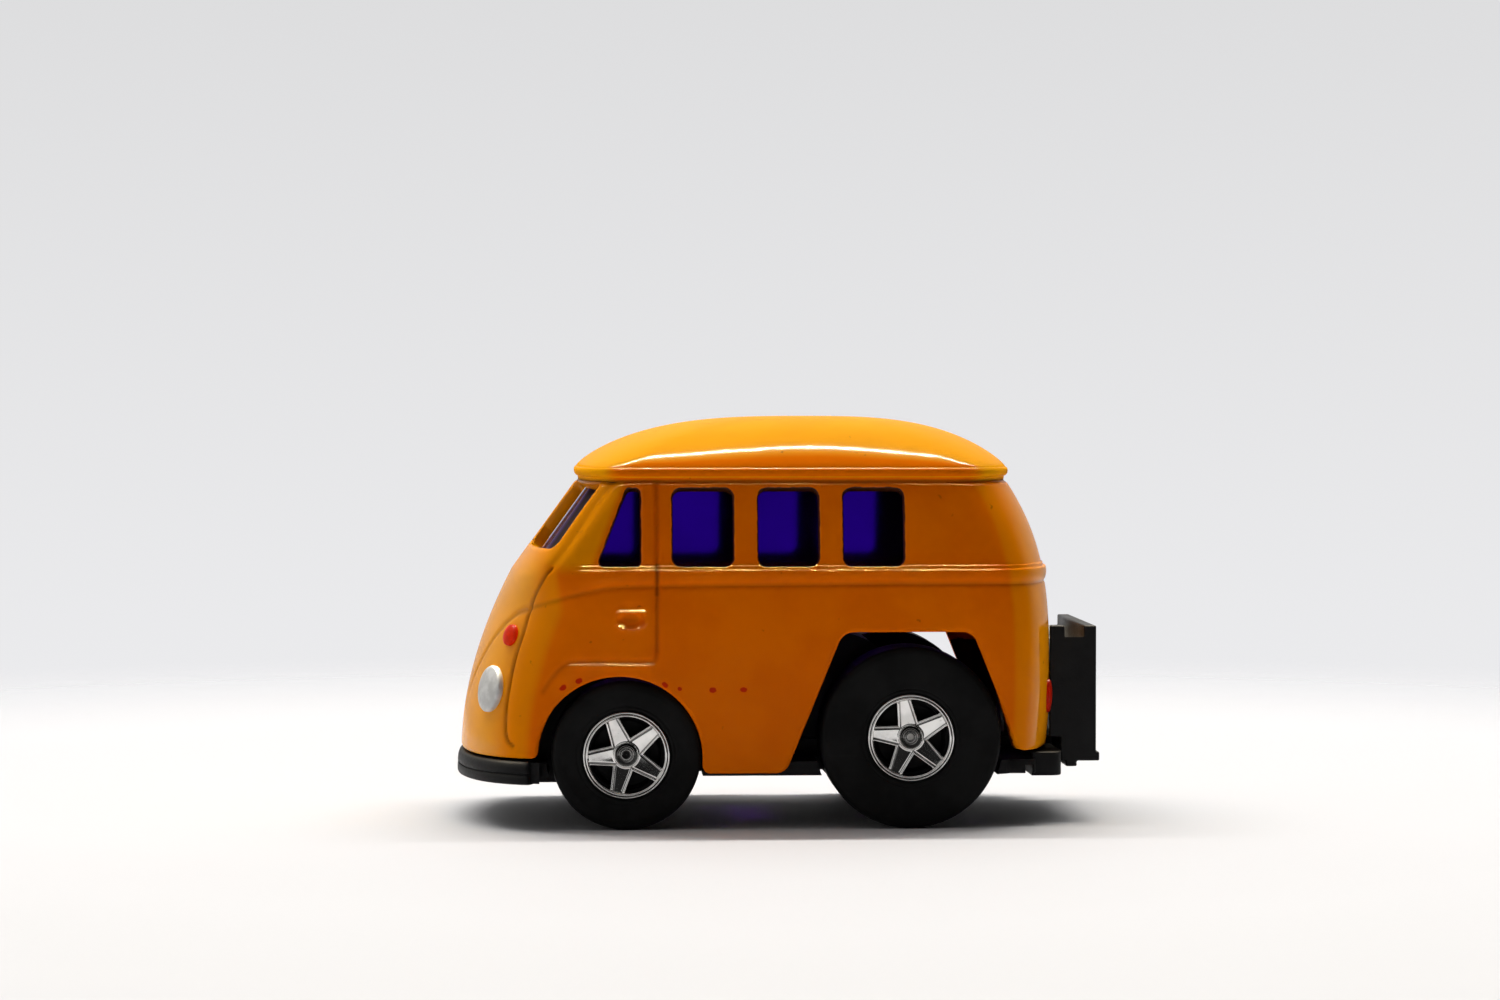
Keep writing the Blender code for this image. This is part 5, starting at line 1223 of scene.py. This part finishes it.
def behind_skin(shell, points):
    """Draws the solid bumper's face in, behind its skin."""
    middle = np.array([NOSE_X + NOSE_ROUND, 0, 0])
    away = np.abs(points - middle) / (NOSE_ROUND, float(shell.half_width(NOSE_BOTTOM_Z)), 1)
    proud = away[:, 0] ** NOSE_SQUARE + away[:, 1] ** NOSE_SQUARE > 1
    ahead = points[:, 0] < middle[0]
    return np.where((proud & ahead)[:, None], middle + (points - middle) * BEHIND_BUMPER, points)


def shelf_corners(points):
    """Which points are on the corners of the chassis' two side shelves."""
    return (points[:, 0] > SHELF_X) & (np.abs(points[:, 1]) > SHELF_Y)


def claws_to_tail(shell, points):
    """Carries the holder's two claws down its front and forward, close to the tail's curve."""
    x, y, z = points.T
    claw = (np.abs(y) > CLAW_Y) & (z > CLAW_Z - 0.02)
    front = claw & (x < CLAW_X + 0.1)
    near = shell.tail_place(np.clip(y, -CLAW_FAR_Y, CLAW_FAR_Y), BULGE_Z) + 0.04
    low = claw & (x < CLAW_X + 0.5) & (z < CLAW_Z + 0.02)
    return np.stack([np.where(front, near, x), y, np.where(low, CLAW_FOOT_Z, z)], 1)


def bevelled_copy(node, name, material, width, shell, reshape, clamp=True, blunt=None):
    """A solid's own mesh, merged, with its points moved by reshape and its edges rounded.

    Edges whose ends lie where blunt says get a wider round first.
    """
    mesh = frame["nodes"][node].data.copy()
    mesh.name = name
    work = bmesh.new()
    work.from_mesh(mesh)
    bmesh.ops.remove_doubles(work, verts=work.verts, dist=0.002 * MM)
    bmesh.ops.dissolve_limit(work, angle_limit=math.radians(1), verts=work.verts, edges=work.edges)
    work.to_mesh(mesh)
    work.free()
    points = np.empty(len(mesh.vertices) * 3, np.float32)
    mesh.vertices.foreach_get("co", points)
    points = reshape(shell, points.reshape(-1, 3) / MM)
    mesh.vertices.foreach_set("co", (points * MM).astype(np.float32).ravel())
    mesh.update()
    mesh.materials.clear()
    mesh.materials.append(material)
    piece = put_object(name, mesh, 30)
    if blunt:
        piece.vertex_groups.new(name="blunt").add(np.flatnonzero(blunt(points)).tolist(), 1.0, "REPLACE")
        corner = piece.modifiers.new("rounded_corners", "BEVEL")
        corner.width = 0.25 * MM
        corner.segments = 3
        corner.limit_method = "VGROUP"
        corner.vertex_group = "blunt"
    bevel = piece.modifiers.new("rounded_edges", "BEVEL")
    bevel.use_clamp_overlap = clamp
    bevel.width = width * MM
    bevel.segments = 2
    bevel.limit_method = "ANGLE"
    bevel.angle_limit = math.radians(35)
    return piece


def redress(nodes, material):
    """Gives solids that keep their shape a finish of their own."""
    for node in nodes:
        piece = frame["nodes"][node]
        piece.data.materials.clear()
        piece.data.materials.append(material)


# Stage: photo in pixels, sensor and the floor's reach in millimetres, everything else in metres

PHOTO_WIDTH, PHOTO_FOCAL, SENSOR_WIDTH = 1500, 3700, 36
CAMERA_PLACE, CAMERA_AIM = (-0.0158, -0.273, 0.0304), (0.0519, 1, -0.027)
FLOOR_REACH, FLOOR_RINGS, FLOOR_STEPS = 240, 40, 96
FLOOR_GONE, FLOOR_WHOLE = 0.175, 0.085
BACKDROP_LOW, BACKDROP_HIGH = paint(237, 237, 239), paint(219, 219, 220)
LIT_SIDE = (-0.6, 0.8, 0.0)
# Place, target, width and depth
OVERHEAD = (0.0, 0.18, 0.42), (0.0, 0.02, 0.01), 0.90, 0.70
LONG_STRIP = (0.0, 0.09, 0.40), (0.0, 0.0, 0.02), 0.60, 0.012
FRONT_STRIP = (0.0, -0.12, 0.40), (0.0, 0.0, 0.02), 0.60, 0.014


def soft_light(name, place, target, wide, deep, power, tint=(1.0, 1.0, 1.0)):
    """An oblong lamp at a place, aimed at a target."""
    light = bpy.data.lights.new(name, "AREA")
    light.shape = "RECTANGLE"
    light.size = wide
    light.size_y = deep
    light.energy = power
    light.color = tint
    holder = bpy.data.objects.new(name, light)
    holder.location = place
    holder.rotation_euler = (Vector(target) - Vector(place)).to_track_quat("-Z", "Y").to_euler()
    bpy.context.scene.collection.objects.link(holder)
    return holder


def studio_world():
    """A pale backdrop for the camera and glass, a plain gloss, and soft light from one side for the rest."""
    world = bpy.data.worlds.new("studio")
    world.use_nodes = True
    maker = NodeMaker(world.node_tree)
    path = maker.node("ShaderNodeLightPath").outputs
    away = maker.node("ShaderNodeTexCoord").outputs["Generated"]
    up = maker.node("ShaderNodeSeparateXYZ", {0: away}).outputs["Z"]
    tone = maker.node("ShaderNodeValToRGB", {"Fac": maker.span(up, -0.10, 0.14)})
    for element, tint in zip(tone.color_ramp.elements, (BACKDROP_LOW, BACKDROP_HIGH)):
        element.color = (*tint, 1)
    facing = maker.node("ShaderNodeVectorMath", {0: away, 1: LIT_SIDE}, operation="DOT_PRODUCT")
    facing = facing.outputs["Value"]

    def background(**sockets):
        return maker.node("ShaderNodeBackground", sockets).outputs[0]

    def mixed(factor, first, second):
        return maker.node("ShaderNodeMixShader", {0: factor, 1: first, 2: second}).outputs[0]

    backdrop = background(Color=tone.outputs["Color"])
    gloss = background(Strength=maker.span(facing, -0.55, -0.2, 0.02, 0.7))
    lamp = background(Strength=maker.span(facing, -0.5, 0.3, 0.03, 0.55))
    seen = maker.math("MAXIMUM", path["Is Camera Ray"], path["Is Transmission Ray"])
    seen = maker.math("MAXIMUM", seen, path["Is Glossy Ray"])
    both = mixed(seen, lamp, mixed(path["Is Glossy Ray"], backdrop, gloss))
    maker.node("ShaderNodeOutputWorld", {"Surface": both})
    return world


def floor_finish(tint):
    """Matt floor that thins out to nothing away from the van."""
    look = Look("studio_floor")
    place = look.node("ShaderNodeSeparateXYZ", {"Vector": look.place()}).outputs
    across = look.node("ShaderNodeCombineXYZ", {"X": place["X"], "Y": place["Y"]}).outputs[0]
    solid = look.ramp(look.reach(across), FLOOR_GONE, FLOOR_WHOLE)
    return look.finish(Base_Color=tint, Roughness=0.7, Alpha=solid, Specular_IOR_Level=0.2)


# Operators

def settings():
    """The panel's sizes and colours."""
    scene = bpy.context.scene
    return scene.van_sizes, scene.van_colours


class VAN_OT_stage(bpy.types.Operator):
    """Pale floor that fades into a pale background, an overhead soft light and the camera"""
    bl_idname = "van.stage"
    bl_label = "Stage"

    def execute(self, context):
        scene = context.scene
        _, colours = settings()
        scene.view_settings.view_transform = "Standard"
        scene.world = studio_world()
        reach = np.linspace(0, FLOOR_REACH, FLOOR_RINGS)[:, None]
        turn = np.linspace(0, 2 * np.pi, FLOOR_STEPS, endpoint=False)[None, :]
        points = np.stack([reach * np.cos(turn), reach * np.sin(turn), 0 * reach * turn - 0.01], -1)
        floor = put_mesh("studio_floor", points.reshape(-1, 3),
                         [quad_grid(FLOOR_RINGS, FLOOR_STEPS, wrap=True)], floor_finish(colours.floor))
        soft_light("overhead", *OVERHEAD, 2.0).visible_glossy = False
        soft_light("long_strip", *LONG_STRIP, 1.7)
        soft_light("long_glint", *LONG_STRIP, 14.0, (1.0, 0.88, 0.66)).visible_diffuse = False
        glint = soft_light("front_glint", *FRONT_STRIP, 34.0, (1.0, 0.68, 0.18))
        glint.visible_diffuse = False
        glint.light_linking.receiver_collection = bpy.data.collections.new("painted")
        eye = bpy.data.cameras.new("camera")
        eye.sensor_width = SENSOR_WIDTH
        eye.lens = PHOTO_FOCAL / PHOTO_WIDTH * SENSOR_WIDTH
        eye.clip_start = 0.01
        camera = bpy.data.objects.new("camera", eye)
        camera.location = CAMERA_PLACE
        camera.rotation_euler = Vector(CAMERA_AIM).to_track_quat("-Z", "Y").to_euler()
        scene.collection.objects.link(camera)
        scene.camera = camera
        return {"FINISHED"}


class VAN_OT_shell(bpy.types.Operator):
    """Painted body in two halves, with doors, belt and openings, and the roof over it"""
    bl_idname = "van.shell"
    bl_label = "Painted shell"

    def execute(self, context):
        sizes, colours = settings()
        shell = Shell(sizes)
        finish = body_paint("amber_paint", colours, colours.body, colours.body_deep, colours.turned, 0.05)
        # The roof's paler tint is painted light; its sides take the body tint as painted shade
        lit_roof_finish = body_paint("amber_roof_paint", colours, colours.roof, shade(colours.roof, 0.93),
                                 colours.body, 0.03)
        for side, side_name in SIDES:
            points, faces, values = shell_half(shell, sizes, side)
            piece = put_mesh("body_" + side_name, points, faces, finish, values)
            fit_piece(piece, "van", "orange_paint", "body_shell")
            bpy.data.collections["painted"].objects.link(piece)
        points, faces, values = roof_surface(shell)
        fit_piece(put_mesh("roof", points, faces, lit_roof_finish, values), "van", "orange_paint", "body_shell")
        return {"FINISHED"}


class VAN_OT_windows(bpy.types.Operator):
    """Tinted clear tray behind the window openings"""
    bl_idname = "van.windows"
    bl_label = "Tinted windows"

    def execute(self, context):
        sizes, colours = settings()
        points, faces, values = insert_surface(Shell(sizes))
        piece = put_mesh("window_tray", points, faces, tinted_clear(colours.tint), values, sharp=40)
        fit_piece(piece, "van", "tinted_clear", "window_insert")
        return {"FINISHED"}


class VAN_OT_lamps(bpy.types.Operator):
    """Domed headlamps, front indicators and tail lamps, each dabbed with paint"""
    bl_idname = "van.lamps"
    bl_label = "Lamps"

    def execute(self, context):
        sizes, colours = settings()
        shell = Shell(sizes)
        head, signal = sizes.headlamp_radius / MM, sizes.indicator_radius / MM
        head_halves, signal_halves = (head * HEADLAMP_NARROW, head), (signal, signal)
        # Name, surface, which way is out, place, half sizes, dome, colour, roughness and metal
        lamps = (("headlamp", shell.nose_place, -1, HEADLAMP_PLACE, head_halves, 0.5, colours.lamp,
                  0.38, 0.5),
                 ("indicator", shell.nose_place, -1, INDICATOR_PLACE, signal_halves, 0.42, colours.indicator,
                  0.25, 0.0),
                 ("tail_lamp", shell.tail_place, 1, TAIL_LAMP_PLACE, TAIL_LAMP_HALVES, 0.32, colours.tail,
                  0.25, 0.0))
        for name, place, out, (y, z), halves, dome, tint, rough, metal in lamps:
            finish = enamel(name + "_paint", tint, rough, metal)
            for side, side_name in SIDES:
                normal = end_normal(place, side * y, z) * out
                points, faces = lamp_surface((float(place(y, z)), side * y, z), normal, *halves, dome)
                fit_piece(put_mesh(name + "_" + side_name, points, faces, finish), "van", "orange_paint")
        return {"FINISHED"}


class VAN_OT_wheels(bpy.types.Operator):
    """Smooth tyres, dished black cores, plated five-spoke trims and steel axles"""
    bl_idname = "van.wheels"
    bl_label = "Wheels"

    def execute(self, context):
        sizes, colours = settings()
        rubber = moulded_plastic("tyre_rubber_finish", colours.rubber, patch=350.0, grain=2600.0,
                                 rough=0.46, bump=0.010, gloss=0.08)
        black = moulded_plastic("wheel_core_plastic", shade(colours.black, 0.5))
        bright = bare_metal("bright_plating_finish", colours.plating, 0.04, 0.14, 0.002)
        steel = bare_metal("steel_finish", colours.steel, 0.22, 0.4, 0.006)
        for end, width, turn in AXLE_ENDS:
            place = joint_place(end + "_axle_spin")
            radius = (sizes.front_radius if end == "front" else sizes.rear_radius) / MM
            body = end + "_wheels"
            for side, side_name in SIDES:
                name = end + "_" + side_name
                centre = place + (0, side * WHEEL_FACE_Y, 0)
                points, faces = lathe(tyre_profile(radius, width), centre, side, 192, closed=True)
                tyre = put_mesh("tyre_skin_" + name, points, faces, rubber, sharp=60)
                fit_piece(tyre, body, "tyre_rubber", "tyre_" + name)
                points, faces = lathe(core_profile(width, end == "front"), centre, side, 96)
                core = put_mesh("core_skin_" + name, points, faces, black, sharp=30)
                fit_piece(core, body, "black_plastic", "wheel_core_" + name)
                points, faces, values = trim_surface(centre, side, sizes.trim_radius / MM,
                                                     math.radians(turn))
                trim = put_mesh("trim_skin_" + name, points, faces, bright, values, sharp=45)
                fit_piece(trim, body, "bright_plating", "wheel_trim_" + name)
            redress([end + "_axle"], steel)
        return {"FINISHED"}


class VAN_OT_underside(bpy.types.Operator):
    """Front bumper skin, and finishes for the chassis, coin holder and screws"""
    bl_idname = "van.underside"
    bl_label = "Bumper, chassis and coin holder"

    def execute(self, context):
        sizes, colours = settings()
        shell = Shell(sizes)
        black = moulded_plastic("black_plastic_finish", colours.black)
        points, faces = bumper_surface(shell)
        fit_piece(put_mesh("bumper_front", points, faces, black, sharp=35), "van", "black_plastic")
        chassis = bevelled_copy("chassis", "chassis_skin", black, 0.14, shell, behind_skin,
                                blunt=shelf_corners)
        fit_piece(chassis, "van", "black_plastic", "chassis")
        sheen = moulded_plastic("holder_plastic", colours.black, rough=0.3, gloss=0.16)
        holder = bevelled_copy("coin_holder", "holder_skin", sheen, 0.1, shell, claws_to_tail, clamp=False)
        fit_piece(holder, "van", "black_plastic", "coin_holder")
        redress(["chassis_screw_front", "chassis_screw_rear"],
                bare_metal("screw_steel", colours.steel, 0.25, 0.45, 0.006))
        return {"FINISHED"}


class VAN_OT_motor(bpy.types.Operator):
    """Finishes for the motor's case, gears, pins and spring"""
    bl_idname = "van.motor"
    bl_label = "Spring motor"

    def execute(self, context):
        _, colours = settings()
        redress(["motor_case_left", "motor_case_right"],
                moulded_plastic("motor_case_plastic", paint(46, 46, 48), rough=0.5))
        redress(["idler_gear", "axle_pinion"], gear_nylon("gear_nylon_white", paint(206, 202, 190)))
        redress(["spring_barrel"], gear_nylon("gear_nylon_red", paint(150, 38, 30)))
        redress(["mainspring", "spring_arbor", "idler_pin"],
                bare_metal("spring_steel", shade(colours.steel, 0.7), 0.2, 0.38, 0.005))
        return {"FINISHED"}


class VAN_PT_panel(bpy.types.Panel):
    """Sizes, colours and the operators that build the van"""
    bl_idname = "VAN_PT_panel"
    bl_label = "Toy van"
    bl_space_type = "VIEW_3D"
    bl_region_type = "UI"
    bl_category = "Toy Van"

    def draw(self, context):
        layout = self.layout
        for group in (context.scene.van_sizes, context.scene.van_colours):
            for key in group.__annotations__:
                layout.prop(group, key)
        for operator in OPERATORS:
            layout.operator(operator.bl_idname)


OPERATORS = (VAN_OT_stage, VAN_OT_shell, VAN_OT_windows, VAN_OT_lamps, VAN_OT_wheels, VAN_OT_underside,
             VAN_OT_motor)
CLASSES = (VanSizes, VanColours) + OPERATORS + (VAN_PT_panel,)


def register():
    for kind in CLASSES:
        bpy.utils.register_class(kind)
    bpy.types.Scene.van_sizes = bpy.props.PointerProperty(type=VanSizes)
    bpy.types.Scene.van_colours = bpy.props.PointerProperty(type=VanColours)


def unregister():
    del bpy.types.Scene.van_sizes
    del bpy.types.Scene.van_colours
    for kind in reversed(CLASSES):
        bpy.utils.unregister_class(kind)


def main():
    register()
    bpy.ops.van.stage()
    bpy.ops.van.shell()
    bpy.ops.van.windows()
    bpy.ops.van.lamps()
    bpy.ops.van.wheels()
    bpy.ops.van.underside()
    bpy.ops.van.motor()


if __name__ == "__main__":
    main()
